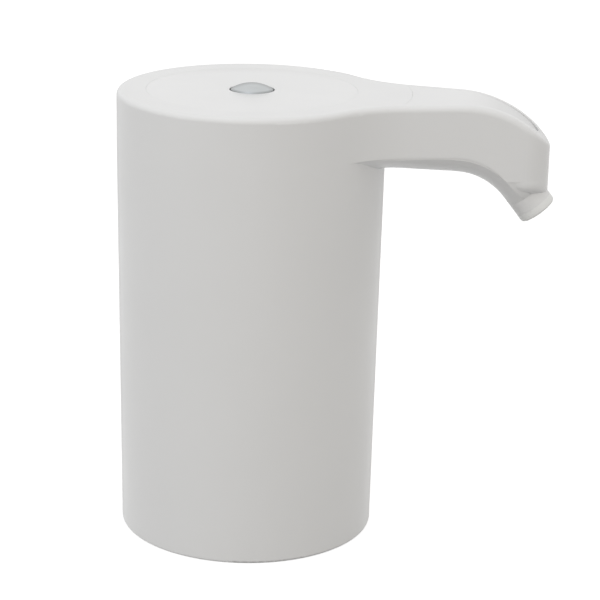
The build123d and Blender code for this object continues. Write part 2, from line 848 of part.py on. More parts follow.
def pump_cover():
    """Cover that carries the motor, with the outlet barb."""
    solid = raised(pump_outline(), cover_z, motor_z)
    barb_high_z = motor_z + barb_length
    solid += rod(riser_x, 0, motor_z, barb_high_z, tube_bore_r - barb_gap)
    solid -= rod(riser_x, 0, cover_z, barb_high_z, barb_bore_r)
    solid -= rod(*drive_place, cover_z, motor_z, shaft_r + screw_gap)
    solid -= rod(*drive_place, motor_z - collar_height - collar_room, motor_z, collar_r + screw_gap)
    solid -= rod(*drive_place, cover_z, cover_z + seal_height, seal_r + thread_gap)
    solid -= rod(*idler_place, cover_z, cover_z + pin_sink, pin_r + thread_gap)
    for x, y in lug_places():
        solid -= rod(x, y, cover_z, motor_z, screw_r + screw_gap)
    return solid + motor_cup()


def motor_cup():
    """Low wall round the motor, open where a screw head or the riser tube passes."""
    top_z = motor_z + cup_height
    cup = rod(*drive_place, motor_z, top_z, can_r + cup_gap + cup_wall)
    cup -= rod(*drive_place, motor_z, top_z, can_r + cup_gap)
    for x, y in lug_places():
        cup -= rod(x, y, motor_z, top_z, screw_head_r + cup_notch_room)
    cup &= raised(pump_outline(), motor_z, top_z)
    return (cup - rod(riser_x, 0, motor_z, top_z, tube_r + cup_notch_room)).solids()


def shaft_seal():
    """Lip seal round the shaft in the pump's cover."""
    ring = rod(*drive_place, cover_z, cover_z + seal_height - thread_gap, seal_r)
    return ring - rod(*drive_place, cover_z, cover_z + seal_height, shaft_r + pin_fit)


def involute(base_r, radius):
    """Angle in radians that the tooth flank has turned at a radius."""
    pressure = math.acos(base_r / radius)
    return math.tan(pressure) - pressure


def polar(radius, angle):
    """Plan point at a radius and an angle in radians."""
    return (radius * math.cos(angle), radius * math.sin(angle))


def gear_tooth(middle, step):
    """Edges of one tooth and of the root arc that follows it."""
    base_r = pitch_r * math.cos(math.radians(pressure_angle))
    half_tooth = (math.pi * gear_module / 2 - tooth_backlash / 2) / (2 * pitch_r)
    half_base = half_tooth + involute(base_r, pitch_r)
    radii = [base_r, (base_r + pitch_r) / 2, (pitch_r + tip_r) / 2, tip_r]
    rising = [polar(r, middle + involute(base_r, r) - half_base) for r in radii]
    falling = [polar(r, middle + half_base - involute(base_r, r)) for r in reversed(radii)]
    root_start = polar(root_r, middle + half_base)
    root_end = polar(root_r, middle + step - half_base)
    return [
        Line(polar(root_r, middle - half_base), rising[0]),
        Spline(rising),
        ThreePointArc(rising[-1], polar(tip_r, middle), falling[0]),
        Spline(falling),
        Line(falling[-1], root_start),
        ThreePointArc(root_start, polar(root_r, middle + step / 2), root_end),
    ]


def gear_outline():
    """Spur gear with involute flanks; one tooth points along +X."""
    step = 2 * math.pi / gear_teeth
    teeth = [gear_tooth(i * step, step) for i in range(gear_teeth)]
    return make_face([edge for tooth in teeth for edge in tooth])


def gear(place, turn, bore_r):
    """One pump gear in the chamber."""
    low_z = chamber_z + gear_end_gap
    face = Rot(0, 0, turn) * gear_outline() - Circle(bore_r)
    return raised(Pos(*place) * face, low_z, low_z + gear_width)


def drive_gear():
    """Gear fixed on the motor's shaft."""
    return gear(drive_place, 90, shaft_r + thread_gap)


def idler_gear():
    """Gear that runs on the fixed pin, half a tooth out of step."""
    return gear(idler_place, 180 / gear_teeth - 90, pin_r + pin_fit)


def idler_pin():
    """Fixed pin of the idler gear."""
    return rod(*idler_place, chamber_z - pin_sink, cover_z + pin_sink - thread_gap, pin_r)


def motor_can():
    """Steel can with its front collar."""
    can = rod(*drive_place, motor_z, motor_end_z, can_r)
    can = fillet(can.edges().sort_by(Axis.Z)[0], can_wall)
    can += rod(*drive_place, motor_z - collar_height, motor_z, collar_r)
    can -= rod(*drive_place, motor_z + can_wall, motor_end_z, can_r - can_wall)
    return can - rod(*drive_place, motor_z - collar_height, motor_z + can_wall, shaft_r + pin_fit)


def motor_end_cap():
    """Plastic end of the motor with its rear bearing boss."""
    cap = rod(*drive_place, motor_end_z - end_cap_thick, motor_end_z, can_r - can_wall - thread_gap)
    cap += rod(*drive_place, motor_end_z, motor_end_z + end_cap_rise, collar_r)
    low_z = motor_end_z - end_cap_thick
    return cap - rod(*drive_place, low_z, motor_end_z + end_cap_rise, shaft_r + pin_fit)


def motor_terminals():
    """Two solder lugs on the motor's end."""
    side = block(
        (terminal_r - terminal_thick / 2, -terminal_half, motor_end_z),
        (terminal_r + terminal_thick / 2, terminal_half, motor_end_z + terminal_height)
    )
    return Pos(*drive_place, 0) * both_sides(side)


def both_sides(solid):
    """A solid and its twin on the other side of the motor's axis."""
    return Compound([solid, Rot(0, 0, 180) * solid])


def motor_brushes():
    """Two spring strips on the end cap, one each side of the commutator."""
    high_z = motor_end_z - end_cap_thick
    near_x = commutator_r + thread_gap
    strip = block((near_x, -brush_half, high_z - brush_length), (near_x + brush_thick, brush_half, high_z))
    return Pos(*drive_place, 0) * both_sides(strip)


def motor_magnets():
    """Two curved magnets against the can's wall."""
    low_z = motor_z + magnet_low
    ring = Circle(can_r - can_wall - thread_gap) - Circle(magnet_r)
    arc = ring & wedge_face(magnet_angle, can_r + overrun)
    magnet = raised(arc, low_z, low_z + magnet_length).solids()[0]
    return Pos(*drive_place, 0) * both_sides(magnet)


def armature_core():
    """Three-pole core on the shaft."""
    low_z = motor_z + core_low
    web = Pos(core_r / 2, 0) * Rectangle(core_r, 2 * core_web_half)
    slot = Pos(-core_r / 2, 0) * Rectangle(core_r + overrun, 2 * core_slot_half)
    face = Circle(core_r * core_stem_share)
    shoe = Circle(core_r) - Circle(core_shoe_r)
    for turn in pole_turns():
        face += Rot(0, 0, turn) * web
        shoe -= Rot(0, 0, turn) * slot
    face = (face + shoe) & Circle(core_r)
    solid = raised(face - Circle(shaft_r + thread_gap), low_z, low_z + core_length)
    return Pos(*drive_place, 0) * solid


def pole_turns():
    """Angles of the armature's poles, in degrees."""
    return [360 * i / three for i in range(three)]


def armature_coils():
    """Three coils round the core's webs, each a closed hank with an opening for its web."""
    web_low = motor_z + core_low - coil_gap
    web_high = motor_z + core_low + core_length + coil_gap
    low_z = web_low - coil_over
    high_z = web_high + coil_over
    outer = core_shoe_r - coil_gap
    half = core_web_half + coil_gap
    wide = core_r * coil_half_share
    coil = block((core_r * coil_inner_share, -wide, low_z), (outer, wide, high_z))
    coil &= raised(Pos(coil_lead, 0) * wedge_face(2 * coil_angle, core_r), low_z, high_z)
    coil &= rod(0, 0, low_z, high_z, outer)
    coil -= block((0, -half, web_low), (core_r, half, web_high))
    hank = coil.solids()[0]
    return Pos(*drive_place, 0) * Compound([Rot(0, 0, turn) * hank for turn in pole_turns()])


def commutator():
    """Copper drum on the shaft behind the core."""
    low_z = motor_z + commutator_low
    drum = rod(*drive_place, low_z, low_z + commutator_length, commutator_r)
    return drum - rod(*drive_place, low_z, low_z + commutator_length, shaft_r + thread_gap)


def motor_shaft():
    """Shaft from the pump's floor to the rear bearing."""
    low_z = chamber_z - pin_sink + thread_gap
    return rod(*drive_place, low_z, motor_end_z + end_cap_rise, shaft_r)


def ring_swept(path, outer_r, inner_r):
    """Hollow tube along a path."""
    plane = Plane(origin=path @ 0, z_dir=path % 0)
    return sweep(plane * (Circle(outer_r) - Circle(inner_r)), path=path)


def outlet_tube():
    """Silicone tube from the pump through the arm to the nozzle."""
    return ring_swept(tube_path(motor_z, nozzle_stem_start - nozzle_barb_start), tube_r, tube_bore_r)


def inlet_tube():
    """Short silicone tube from the spigot to the pump."""
    outer = rod(0, 0, plate_top_z, deck_top_z, tube_r)
    return outer - rod(0, 0, plate_top_z, deck_top_z, tube_bore_r)


def nozzle():
    """Round spout end with its barb inside the arm and a rounded lip."""
    barb = nozzle_rod(nozzle_barb_start, nozzle_stem_start, tube_bore_r - barb_gap)
    stem = nozzle_rod(nozzle_stem_start, nozzle_lip_start, nozzle_stem_r)
    lip = nozzle_rod(nozzle_lip_start, nozzle_end, nozzle_r)
    along = Axis((0, 0, 0), bend_plane(arm_drop_angle, tube_ring_r).z_dir)
    lip = fillet(lip.edges().sort_by(along)[-1], nozzle_lip_round)
    solid = barb + stem + lip
    solid -= nozzle_rod(nozzle_barb_start, nozzle_end, barb_bore_r)
    solid -= nozzle_rod(nozzle_stem_start + nozzle_throat, nozzle_end, nozzle_bore_r)
    return solid


def base_plate():
    """Plate over the bottle's mouth with the socket's sleeve, its ribs and the hose spigot."""
    plate = rod(0, 0, plate_bottom_z, plate_top_z, body_r_at(plate_bottom_z) - wall - plate_room)
    sleeve_in = socket_bore_r + liner_wall + liner_gap
    sleeve_out = sleeve_in + sleeve_wall
    solid = plate + rod(0, 0, sleeve_low_z, plate_bottom_z, sleeve_out)
    half = rib_thick / 2
    rib = block((sleeve_in, -half, rib_low_z), (inner_r - plate_room, half, plate_bottom_z))
    for i in range(rib_count):
        solid += Rot(0, 0, 360 * i / rib_count) * rib
    solid -= rod(0, 0, sleeve_low_z, liner_top_z + liner_gap, sleeve_in)
    solid -= rod(0, 0, liner_top_z, plate_bottom_z, socket_bore_r + liner_step)
    solid += rod(0, 0, spigot_low_z, plate_bottom_z, spigot_r)
    solid += rod(0, 0, plate_top_z, plate_top_z + barb_length - channel_half, tube_bore_r - barb_gap)
    solid -= rod(0, 0, spigot_low_z, plate_bottom_z, spigot_bore_r)
    solid -= rod(0, 0, plate_bottom_z, plate_top_z + barb_length, barb_bore_r)
    for x, y in leg_places():
        solid -= rod(x, y, plate_bottom_z, plate_top_z, screw_r + screw_gap)
    return solid


def neck_ring():
    """Silicone liner that grips the bottle's neck, with a lip under the sleeve."""
    lip_top = liner_low_z + liner_lip
    lip_r = socket_bore_r + liner_lip_reach
    out_r = socket_bore_r + liner_wall
    return turned([
        (socket_bore_r, liner_low_z), (lip_r, liner_low_z), (lip_r, lip_top),
        (out_r, lip_top), (out_r, liner_top_z), (socket_bore_r, liner_top_z),
    ])


def base_screws():
    """Three screws up through the base plate into the frame's legs."""
    length = plate_thick + screw_bite - screw_gap
    return Compound([screw(x, y, plate_bottom_z, length, False) for x, y in leg_places()])


def frame_screws():
    """Three screws up through the frame's deck into the housing."""
    length = deck_thick + screw_bite
    return Compound([screw(x, y, deck_bottom_z, length, False) for x, y in boss_places()])


def board_screws():
    """Three screws that hold the board on its posts."""
    return Compound([screw(x, y, board_top_z, board_thick + board_bite) for x, y in post_places()])


def pump_screws():
    """Three long screws through the pump into the deck."""
    length = motor_z - deck_bottom_z
    return Compound([screw(x, y, motor_z, length) for x, y in lug_places()])


def build():
    """Make every piece of the pump and write it as its own file."""
    makers = [
        outer_shell, top_cover, spout_lid, nozzle, outlet_tube, inlet_tube, base_plate, neck_ring,
        inner_frame, battery_cell, cell_tabs, control_board, board_parts, switch_body, status_led,
        charging_socket, motor_can, motor_end_cap, motor_terminals, motor_brushes, motor_magnets, pump_body,
        pump_gasket, pump_cover, shaft_seal, idler_pin, base_screws, frame_screws, board_screws,
        pump_screws, button_cap, switch_plunger, motor_shaft, armature_core, armature_coils,
        commutator, drive_gear, idler_gear,
    ]
    os.makedirs("parts", exist_ok=True)
    for make in makers:
        export_step(make(), f"parts/{make.__name__}.step")


build()
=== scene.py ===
import json
import math

import bmesh
import bpy
import numpy as np
from bpy.props import FloatProperty, FloatVectorProperty, IntProperty, PointerProperty
from mathutils import Matrix, Vector


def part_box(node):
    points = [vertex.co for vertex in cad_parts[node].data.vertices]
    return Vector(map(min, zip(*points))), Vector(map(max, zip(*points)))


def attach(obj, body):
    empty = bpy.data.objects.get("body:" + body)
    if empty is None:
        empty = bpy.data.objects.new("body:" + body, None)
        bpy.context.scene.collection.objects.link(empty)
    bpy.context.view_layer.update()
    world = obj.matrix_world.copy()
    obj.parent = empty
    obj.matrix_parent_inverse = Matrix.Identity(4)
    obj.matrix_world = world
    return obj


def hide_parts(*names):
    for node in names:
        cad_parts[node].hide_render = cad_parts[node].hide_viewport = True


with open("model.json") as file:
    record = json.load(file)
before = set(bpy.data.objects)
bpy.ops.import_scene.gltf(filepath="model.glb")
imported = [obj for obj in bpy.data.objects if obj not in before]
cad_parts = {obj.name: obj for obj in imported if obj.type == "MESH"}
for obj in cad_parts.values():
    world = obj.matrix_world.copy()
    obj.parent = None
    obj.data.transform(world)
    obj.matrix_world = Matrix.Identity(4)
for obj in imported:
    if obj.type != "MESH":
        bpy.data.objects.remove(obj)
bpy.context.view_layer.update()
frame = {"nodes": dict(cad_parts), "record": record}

bl_info = {
    "name": "Bottle pump",
    "version": (1, 0, 0),
    "blender": (4, 5, 0),
    "location": "View3D > Sidebar > Bottle pump",
    "description": "Finishes a battery pump for water bottles: button, cover, spout, liner and inner works",
    "category": "Object",
}

MM = 0.001
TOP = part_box("top_cover")[1].z
COVER_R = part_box("top_cover")[1].x
NECK_R = 0.028

# Places that several pieces share, in millimetres: the arc that hose and nozzle follow, board and motor
DROOP_X, DROOP_Z, DROOP_R = 55.6, 87.2, 23.4
DROOP = math.radians(52.0)
BOARD_TOP = 111.6
MOTOR_X, MOTOR_Y = 6.3004, -6.2504

# How finely meshes are made and cleaned
ARC_STEPS = 7
MERGE_DISTANCE = 1e-6
FLAT_DISTANCE = 1e-7
SHARP_ANGLE = math.radians(35)
BEVEL_ANGLE = math.radians(40)


# Settings that a user would change
class ButtonSettings(bpy.types.PropertyGroup):
    radius: FloatProperty(
        name="Radius", description="Radius of the push button's dome", default=5.85 * MM, unit="LENGTH")
    rise: FloatProperty(
        name="Rise", description="Height of the dome above the cover", default=1.7 * MM, unit="LENGTH")
    edge: FloatProperty(
        name="Edge", description="Rounding where dome and side meet", default=0.35 * MM, unit="LENGTH")
    colour: FloatVectorProperty(
        name="Colour", description="Silver of the button's coat", subtype="COLOR", size=3,
        min=0, max=1, default=(0.555, 0.575, 0.58))


class HousingSettings(bpy.types.PropertyGroup):
    colour: FloatVectorProperty(
        name="Colour", description="White of the housing, cover and lid", subtype="COLOR", size=3,
        min=0, max=1, default=(0.785, 0.79, 0.795))
    # The nozzle's white is greener than the housing's as its own tint, and lighter as painted light.
    nozzle_colour: FloatVectorProperty(
        name="Nozzle colour", description="Slightly greener white of the nozzle", subtype="COLOR", size=3,
        min=0, max=1, default=(0.83, 0.84, 0.835))
    edge: FloatProperty(
        name="Edge", description="Rounding on the cover's edges", default=0.1 * MM, unit="LENGTH")
    lid_edge: FloatProperty(
        name="Lid edge", description="Rounding on the lid's edges", default=0.12 * MM, unit="LENGTH")
    nozzle_lip: FloatProperty(
        name="Nozzle lip", description="Rounding of the nozzle's outer rim", default=0.75 * MM, unit="LENGTH")


class WorksSettings(bpy.types.PropertyGroup):
    thread_pitch: FloatProperty(
        name="Thread pitch", description="Rise of the screws' thread in one turn", default=0.75 * MM,
        unit="LENGTH")
    thread_depth: FloatProperty(
        name="Thread depth", description="Depth of the screws' thread", default=0.2 * MM, unit="LENGTH")
    wire_radius: FloatProperty(
        name="Wire radius", description="Radius of the motor's winding wire", default=0.2 * MM, unit="LENGTH")
    wire_layers: IntProperty(
        name="Wire layers", description="Layers of wire on each of the motor's poles", default=2, min=1,
        max=4)
    chip_legs: IntProperty(
        name="Chip legs", description="Legs on each side of a chip", default=4, min=2, max=8)


class StageSettings(bpy.types.PropertyGroup):
    ambient: FloatProperty(
        name="Ambient", description="Strength of the even light from all round", default=0.75, min=0)
    key_power: FloatProperty(
        name="Key light", description="Power of the large lamp overhead", default=3.4, min=0, unit="POWER")
    left_power: FloatProperty(
        name="Left light", description="Power of the lamp at the front left", default=2.1, min=0,
        unit="POWER")
    right_power: FloatProperty(
        name="Right light", description="Power of the lamp at the front right", default=0.9, min=0,
        unit="POWER")
    front_power: FloatProperty(
        name="Front light", description="Power of the lamp in front", default=1.3, min=0, unit="POWER")
    floor_grey: FloatProperty(
        name="Floor grey", description="Colour of the floor as a surface", default=0.37, min=0, max=1)
    floor_glow: FloatProperty(
        name="Floor glow", description="White added to the floor where the camera sees it", default=0.8,
        min=0, max=1)


class PumpSettings(bpy.types.PropertyGroup):
    round_steps: IntProperty(
        name="Steps round", description="Points round each turned piece", default=160, min=24, max=360)
    button: PointerProperty(type=ButtonSettings)
    housing: PointerProperty(type=HousingSettings)
    works: PointerProperty(type=WorksSettings)
    stage: PointerProperty(type=StageSettings)


# Surfaces as whole arrays
def unit(v):
    """Vectors divided by their lengths; a zero vector stays zero."""
    length = np.linalg.norm(v, axis=-1, keepdims=True)
    return v / np.where(length > 0, length, 1)


def grid_faces(rows, columns, wrap_rows=False, wrap_columns=False):
    """Quads between neighbouring points of a rows by columns grid, joined round where it wraps."""
    i, j = np.meshgrid(
        np.arange(rows if wrap_rows else rows - 1), np.arange(columns if wrap_columns else columns - 1),
        indexing="ij")
    i_next, j_next = (i + 1) % rows, (j + 1) % columns
    quads = [i * columns + j, i_next * columns + j, i_next * columns + j_next, i * columns + j_next]
    return np.stack(quads, -1).reshape(-1, 4)


def circle(count):
    """Angles evenly round a full turn."""
    return np.linspace(0, 2 * np.pi, count, endpoint=False)


def around(r, z, t, place=(0, 0)):
    """Points (x + r cos t, y + r sin t, z) about an upright axis through the place (x, y)."""
    return np.stack([place[0] + r * np.cos(t), place[1] + r * np.sin(t), z + 0 * t], -1)


def rounded(corners, radii, steps=ARC_STEPS, closed=True):
    """Polyline with its corners as arcs: each arc's centre lies r / sin(half angle) along the corner's
    bisector, and its points are the chord between the tangent points pushed out to the radius."""
    p = np.asarray(corners, float)
    r = np.broadcast_to(np.asarray(radii, float), len(p)).copy()
    if not closed:
        r[0] = r[-1] = 0
    a, b = unit(np.roll(p, 1, 0) - p), unit(np.roll(p, -1, 0) - p)
    half = np.maximum(0.5 * np.arccos(np.clip((a * b).sum(1), -1, 1)), 1e-6)
    reach = r / np.tan(half)
    start, end = p + a * reach[:, None], p + b * reach[:, None]
    centre = p + unit(a + b) * (r / np.sin(half))[:, None]
    share = np.linspace(0, 1, steps)[None, :, None]
    chord = start[:, None] * (1 - share) + end[:, None] * share - centre[:, None]
    arc = centre[:, None] + unit(chord) * r[:, None, None]
    return np.where(r[:, None, None] > 0, arc, p[:, None]).reshape(-1, 2)


def turned(profile, count, place=(0, 0), closed=False):
    """Profile (r, z) carried round an upright axis."""
    points = around(profile[:, :1], profile[:, 1:], circle(count), place)
    return points.reshape(-1, 3), grid_faces(len(profile), count, closed, True)


def part_turned(section, start, end, steps):
    """Closed section (r, z) carried from one angle to another about the Z axis, with both ends shut."""
    return capped(around(section[:, 0], section[:, 1], np.linspace(start, end, steps)[:, None]))


def squared(profile, half, count, place, power, hole=0.0, closed=False):
    """Profile (s, z) carried round a box with rounded corners: at the angle t its distance from the axis is
    hole + s (q - hole), where q = (|cos t / a|^n + |sin t / b|^n)^(-1 / n) for the half sides a and b."""
    t = circle(count)
    q = (np.abs(np.cos(t) / half[0]) ** power + np.abs(np.sin(t) / half[1]) ** power) ** (-1 / power)
    points = around(hole + profile[:, :1] * (q - hole), profile[:, 1:], t, place)
    return points.reshape(-1, 3), grid_faces(len(profile), count, closed, True)


def swept(path, side, radius, count):
    """Rings of a round section along a path: point + r (a cos t + b sin t), with a across the path on the
    given side, and b square to both."""
    along = unit(np.gradient(path, axis=0))
    a = unit(side - along * (along * side).sum(-1, keepdims=True))
    b = np.cross(along, a)
    t = circle(count)[None, :, None]
    return path[:, None] + radius * (a[:, None] * np.cos(t) + b[:, None] * np.sin(t))


def hose(path, side, outer, bore, count):
    """Hollow tube along a path: out along the outer radius, back along the bore, joined at both ends."""
    rings = np.concatenate([swept(path, side, outer, count), swept(path, side, bore, count)[::-1]])
    return rings.reshape(-1, 3), grid_faces(len(rings), count, True, True)


def ribbon(path, across, thick):
    """Flat strip along a path: point + s across + h n, with s from -1 to 1, and n square to the path and to
    its breadth."""
    n = unit(np.cross(np.gradient(path, axis=0), across)) * (thick / 2)
    edges = np.stack([path - across, path + across], 1)
    return between(edges + n[:, None], edges - n[:, None])


def between(top, low):
    """Closed slab between two grids of points of one size: both grids and a strip round their borders."""
    rows, columns = top.shape[:2]
    count = rows * columns
    faces = grid_faces(rows, columns)
    index = np.arange(count).reshape(rows, columns)
    rim = np.concatenate([index[0, :-1], index[:-1, -1], index[-1, :0:-1], index[:0:-1, 0]])
    ahead = np.roll(rim, -1)
    strip = np.stack([rim, rim + count, ahead + count, ahead], -1)
    points = np.concatenate([top.reshape(-1, 3), low.reshape(-1, 3)])
    return points, np.concatenate([faces, faces[:, ::-1] + count, strip])


def placed(shell, matrix):
    """Shell moved by a 4 by 4 matrix."""
    points, faces = shell
    m = np.array(matrix)
    return points @ m[:3, :3].T + m[:3, 3], faces


def capped(rings):
    """Tube through rings of points, shut at both ends by one more ring that lies in its middle point."""
    first, last = (np.repeat(ring.mean(0)[None, None], len(ring), 1) for ring in (rings[0], rings[-1]))
    rings = np.concatenate([first, rings, last])
    return rings.reshape(-1, 3), grid_faces(*rings.shape[:2], False, True)


def piece(name, shells, finish, body, nodes, slot=None, bevel=0.0):
    """One object from closed shells: doubles merged, normals outwards, smooth but for sharp edges. Its
    material is the finish; the slot argument is not used."""
    points = np.concatenate([p for p, _ in shells])
    starts = np.cumsum([0] + [len(p) for p, _ in shells[:-1]])
    faces = np.concatenate([f + s for (_, f), s in zip(shells, starts)])
    mesh = bpy.data.meshes.new(name)
    mesh.from_pydata(points.tolist(), [], faces.tolist())
    bm = bmesh.new()
    bm.from_mesh(mesh)
    bmesh.ops.remove_doubles(bm, verts=bm.verts, dist=MERGE_DISTANCE)
    bmesh.ops.dissolve_degenerate(bm, edges=bm.edges, dist=FLAT_DISTANCE)
    bmesh.ops.recalc_face_normals(bm, faces=bm.faces)
    bm.to_mesh(mesh)
    bm.free()
    mesh.shade_smooth()
    mesh.set_sharp_from_angle(angle=SHARP_ANGLE)
    mesh.materials.append(MATERIALS[finish])
    obj = bpy.data.objects.new(name, mesh)
    bpy.context.scene.collection.objects.link(obj)
    if bevel:
        edge = obj.modifiers.new("edge", "BEVEL")
        edge.width = bevel
        edge.segments = 3
        edge.limit_method = "ANGLE"
        edge.angle_limit = BEVEL_ANGLE
        edge.harden_normals = True
    slot = slot or finish
    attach(obj, body)
    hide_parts(*nodes)


# Shared effects
def new_group(name, inputs, outputs):
    """Empty shader node group with its named sockets; returns tree, input node and output node."""
    tree = bpy.data.node_groups.new(name, "ShaderNodeTree")
    for label, kind, value in inputs:
        socket = tree.interface.new_socket(name=label, in_out="INPUT", socket_type=kind)
        if value is not None:
            socket.default_value = value
    for label, kind in outputs:
        tree.interface.new_socket(name=label, in_out="OUTPUT", socket_type=kind)
    return tree, tree.nodes.new("NodeGroupInput"), tree.nodes.new("NodeGroupOutput")


def noise(tree, vector, scale, detail, rough=0.5):
    """Noise texture read at a vector; scale is a number or a socket."""
    node = tree.nodes.new("ShaderNodeTexNoise")
    node.inputs["Detail"].default_value = detail
    node.inputs["Roughness"].default_value = rough
    tree.links.new(vector, node.inputs["Vector"])
    if isinstance(scale, (int, float)):
        node.inputs["Scale"].default_value = scale
    else:
        tree.links.new(scale, node.inputs["Scale"])
    return node.outputs["Fac"]


def fit(tree, value, low, high, to_low, to_high):
    """Value mapped from one range to another, clamped."""
    node = tree.nodes.new("ShaderNodeMapRange")
    node.inputs["From Min"].default_value = low
    node.inputs["From Max"].default_value = high
    node.inputs["To Min"].default_value = to_low
    node.inputs["To Max"].default_value = to_high
    tree.links.new(value, node.inputs["Value"])
    return node.outputs["Result"]


def maths(tree, kind, a, b=None):
    """One step of arithmetic on sockets or numbers."""
    node = tree.nodes.new("ShaderNodeMath")
    node.operation = kind
    for i, value in enumerate((a, b)):
        if value is None:
            continue
        if isinstance(value, (int, float)):
            node.inputs[i].default_value = value
        else:
            tree.links.new(value, node.inputs[i])
    return node.outputs[0]


def axes(tree, vector):
    """The parts X, Y and Z of a vector."""
    node = tree.nodes.new("ShaderNodeSeparateXYZ")
    tree.links.new(vector, node.inputs["Vector"])
    return node.outputs


def cells(tree, vector, scale, feature="F1", metric="EUCLIDEAN"):
    """Distance from a vector to the nearest, or the second nearest, of scattered points."""
    node = tree.nodes.new("ShaderNodeTexVoronoi")
    node.distance = metric
    node.feature = feature
    node.inputs["Scale"].default_value = scale
    tree.links.new(vector, node.inputs["Vector"])
    return node.outputs["Distance"]


def seen_directly(tree):
    """1 for what the camera, mirrors and glass see, and 0 for the light that falls on surfaces."""
    path = tree.nodes.new("ShaderNodeLightPath")
    seen = maths(tree, "ADD", path.outputs["Is Camera Ray"], path.outputs["Is Glossy Ray"])
    return maths(tree, "MINIMUM", maths(tree, "ADD", seen, path.outputs["Is Transmission Ray"]), 1.0)


def chosen(tree, mask, low, high):
    """Shader that goes from low to high with a mask."""
    node = tree.nodes.new("ShaderNodeMixShader")
    for socket, value in zip(node.inputs, (mask, low, high)):
        tree.links.new(value, socket)
    return node.outputs[0]


def moulding_group():
    """Surface of a moulded piece: fine grain with slow waves as a height, and slow smudges as a mask."""
    tree, entry, leave = new_group(
        "moulded surface",
        [("Vector", "NodeSocketVector", None), ("Grain", "NodeSocketFloat", 2600.0),
         ("Wave", "NodeSocketFloat", 60.0), ("Smudge", "NodeSocketFloat", 28.0)],
        [("Height", "NodeSocketFloat"), ("Smudge", "NodeSocketFloat"), ("Speck", "NodeSocketFloat")])
    place = entry.outputs["Vector"]
    grain = noise(tree, place, entry.outputs["Grain"], 2.0)
    wave = noise(tree, place, entry.outputs["Wave"], 1.0)
    smudge = noise(tree, place, entry.outputs["Smudge"], 4.0, 0.6)
    height = maths(tree, "ADD", maths(tree, "MULTIPLY", grain, 0.35), wave)
    tree.links.new(height, leave.inputs["Height"])
    tree.links.new(fit(tree, smudge, 0.35, 0.7, 0.0, 1.0), leave.inputs["Smudge"])
    tree.links.new(fit(tree, grain, 0.68, 0.78, 0.0, 1.0), leave.inputs["Speck"])
    return tree


def brushed_group():
    """Drawn or turned metal: fine streaks along one direction as a height and a tone, with faint stains."""
    tree, entry, leave = new_group(
        "drawn metal",
        [("Vector", "NodeSocketVector", None), ("Along", "NodeSocketVector", (400.0, 9000.0, 9000.0))],
        [("Height", "NodeSocketFloat"), ("Tone", "NodeSocketFloat"), ("Stain", "NodeSocketFloat")])
    stretch = tree.nodes.new("ShaderNodeVectorMath")
    stretch.operation = "MULTIPLY"
    tree.links.new(entry.outputs["Vector"], stretch.inputs[0])
    tree.links.new(entry.outputs["Along"], stretch.inputs[1])
    streak = noise(tree, stretch.outputs[0], 1.0, 3.0)
    stain = noise(tree, entry.outputs["Vector"], 180.0, 3.0)
    tree.links.new(streak, leave.inputs["Height"])
    tree.links.new(fit(tree, streak, 0.3, 0.7, 0.0, 1.0), leave.inputs["Tone"])
    tree.links.new(fit(tree, stain, 0.4, 0.75, 0.0, 1.0), leave.inputs["Stain"])
    return tree


GROUPS = {}
MATERIALS = {}


def start_material(name):
    """New node material; returns its tree, its Principled shader and its Object coordinates."""
    material = bpy.data.materials.new(name)
    material.use_nodes = True
    tree = material.node_tree
    shader = tree.nodes["Principled BSDF"]
    place = tree.nodes.new("ShaderNodeTexCoord")
    MATERIALS[name] = material
    return tree, shader, place.outputs["Object"]


def use_group(tree, name, vector, **values):
    """Shared group placed in a material with its own values."""
    node = tree.nodes.new("ShaderNodeGroup")
    node.node_tree = GROUPS[name]
    tree.links.new(vector, node.inputs["Vector"])
    for label, value in values.items():
        node.inputs[label].default_value = value
    return node


def tinted(colour, share):
    """Colour with each of its channels multiplied by a share."""
    return tuple(c * share for c in colour)


def mixed(tree, mask, low, high):
    """Colour that goes from low to high with a mask; each is a colour or a socket."""
    node = tree.nodes.new("ShaderNodeMix")
    node.data_type = "RGBA"
    tree.links.new(mask, node.inputs["Factor"])
    for label, value in (("A", low), ("B", high)):
        socket = [s for s in node.inputs if s.name == label and s.type == "RGBA"][0]
        if isinstance(value, bpy.types.NodeSocket):
            tree.links.new(value, socket)
        else:
            socket.default_value = (*value, 1)
    return [s for s in node.outputs if s.type == "RGBA"][0]


def over_base(tree, shader, mask, colour):
    """Colour laid by a mask over whatever feeds the base colour so far."""
    socket = shader.inputs["Base Color"]
    tree.links.new(mixed(tree, mask, socket.links[0].from_socket, colour), socket)


def add_bump(tree, shader, height, distance):
    """Height turned into the shader's normal."""
    bump = tree.nodes.new("ShaderNodeBump")
    bump.inputs["Distance"].default_value = distance
    tree.links.new(height, bump.inputs["Height"])
    tree.links.new(bump.outputs["Normal"], shader.inputs["Normal"])


def moulded_plastic(name, colour, rough, grain=2600.0, wave=60.0, depth=0.02 * MM, tone=0.985):
    """Moulded plastic: faint smudges in tone and gloss, with fine grain and slow waves in the surface."""
    tree, shader, place = start_material(name)
    surface = use_group(tree, "moulded surface", place, Grain=grain, Wave=wave)
    smudge = surface.outputs["Smudge"]
    tree.links.new(mixed(tree, smudge, colour, tinted(colour, tone)), shader.inputs["Base Color"])
    tree.links.new(fit(tree, smudge, 0, 1, rough, rough + 0.06), shader.inputs["Roughness"])
    add_bump(tree, shader, surface.outputs["Height"], depth)
    return tree, shader, place


def shell_plastic(name, colour, rough):
    """Moulded plastic of the shell: less mirror-like, with painted shade that darkens its colour where the
    surface turns from the eye.
    """
    tree, shader, place = moulded_plastic(name, colour, rough)
    shader.inputs["Specular IOR Level"].default_value = 0.28
    # Painted shade: the colour darkens towards the outline, where the surface turns from the eye.
    weight = tree.nodes.new("ShaderNodeLayerWeight")
    painted_grazing_darkening = fit(tree, weight.outputs["Facing"], 0.82, 0.98, 0.0, 0.3)
    over_base(tree, shader, painted_grazing_darkening, (0.1, 0.1, 0.1))
    return tree, shader, place


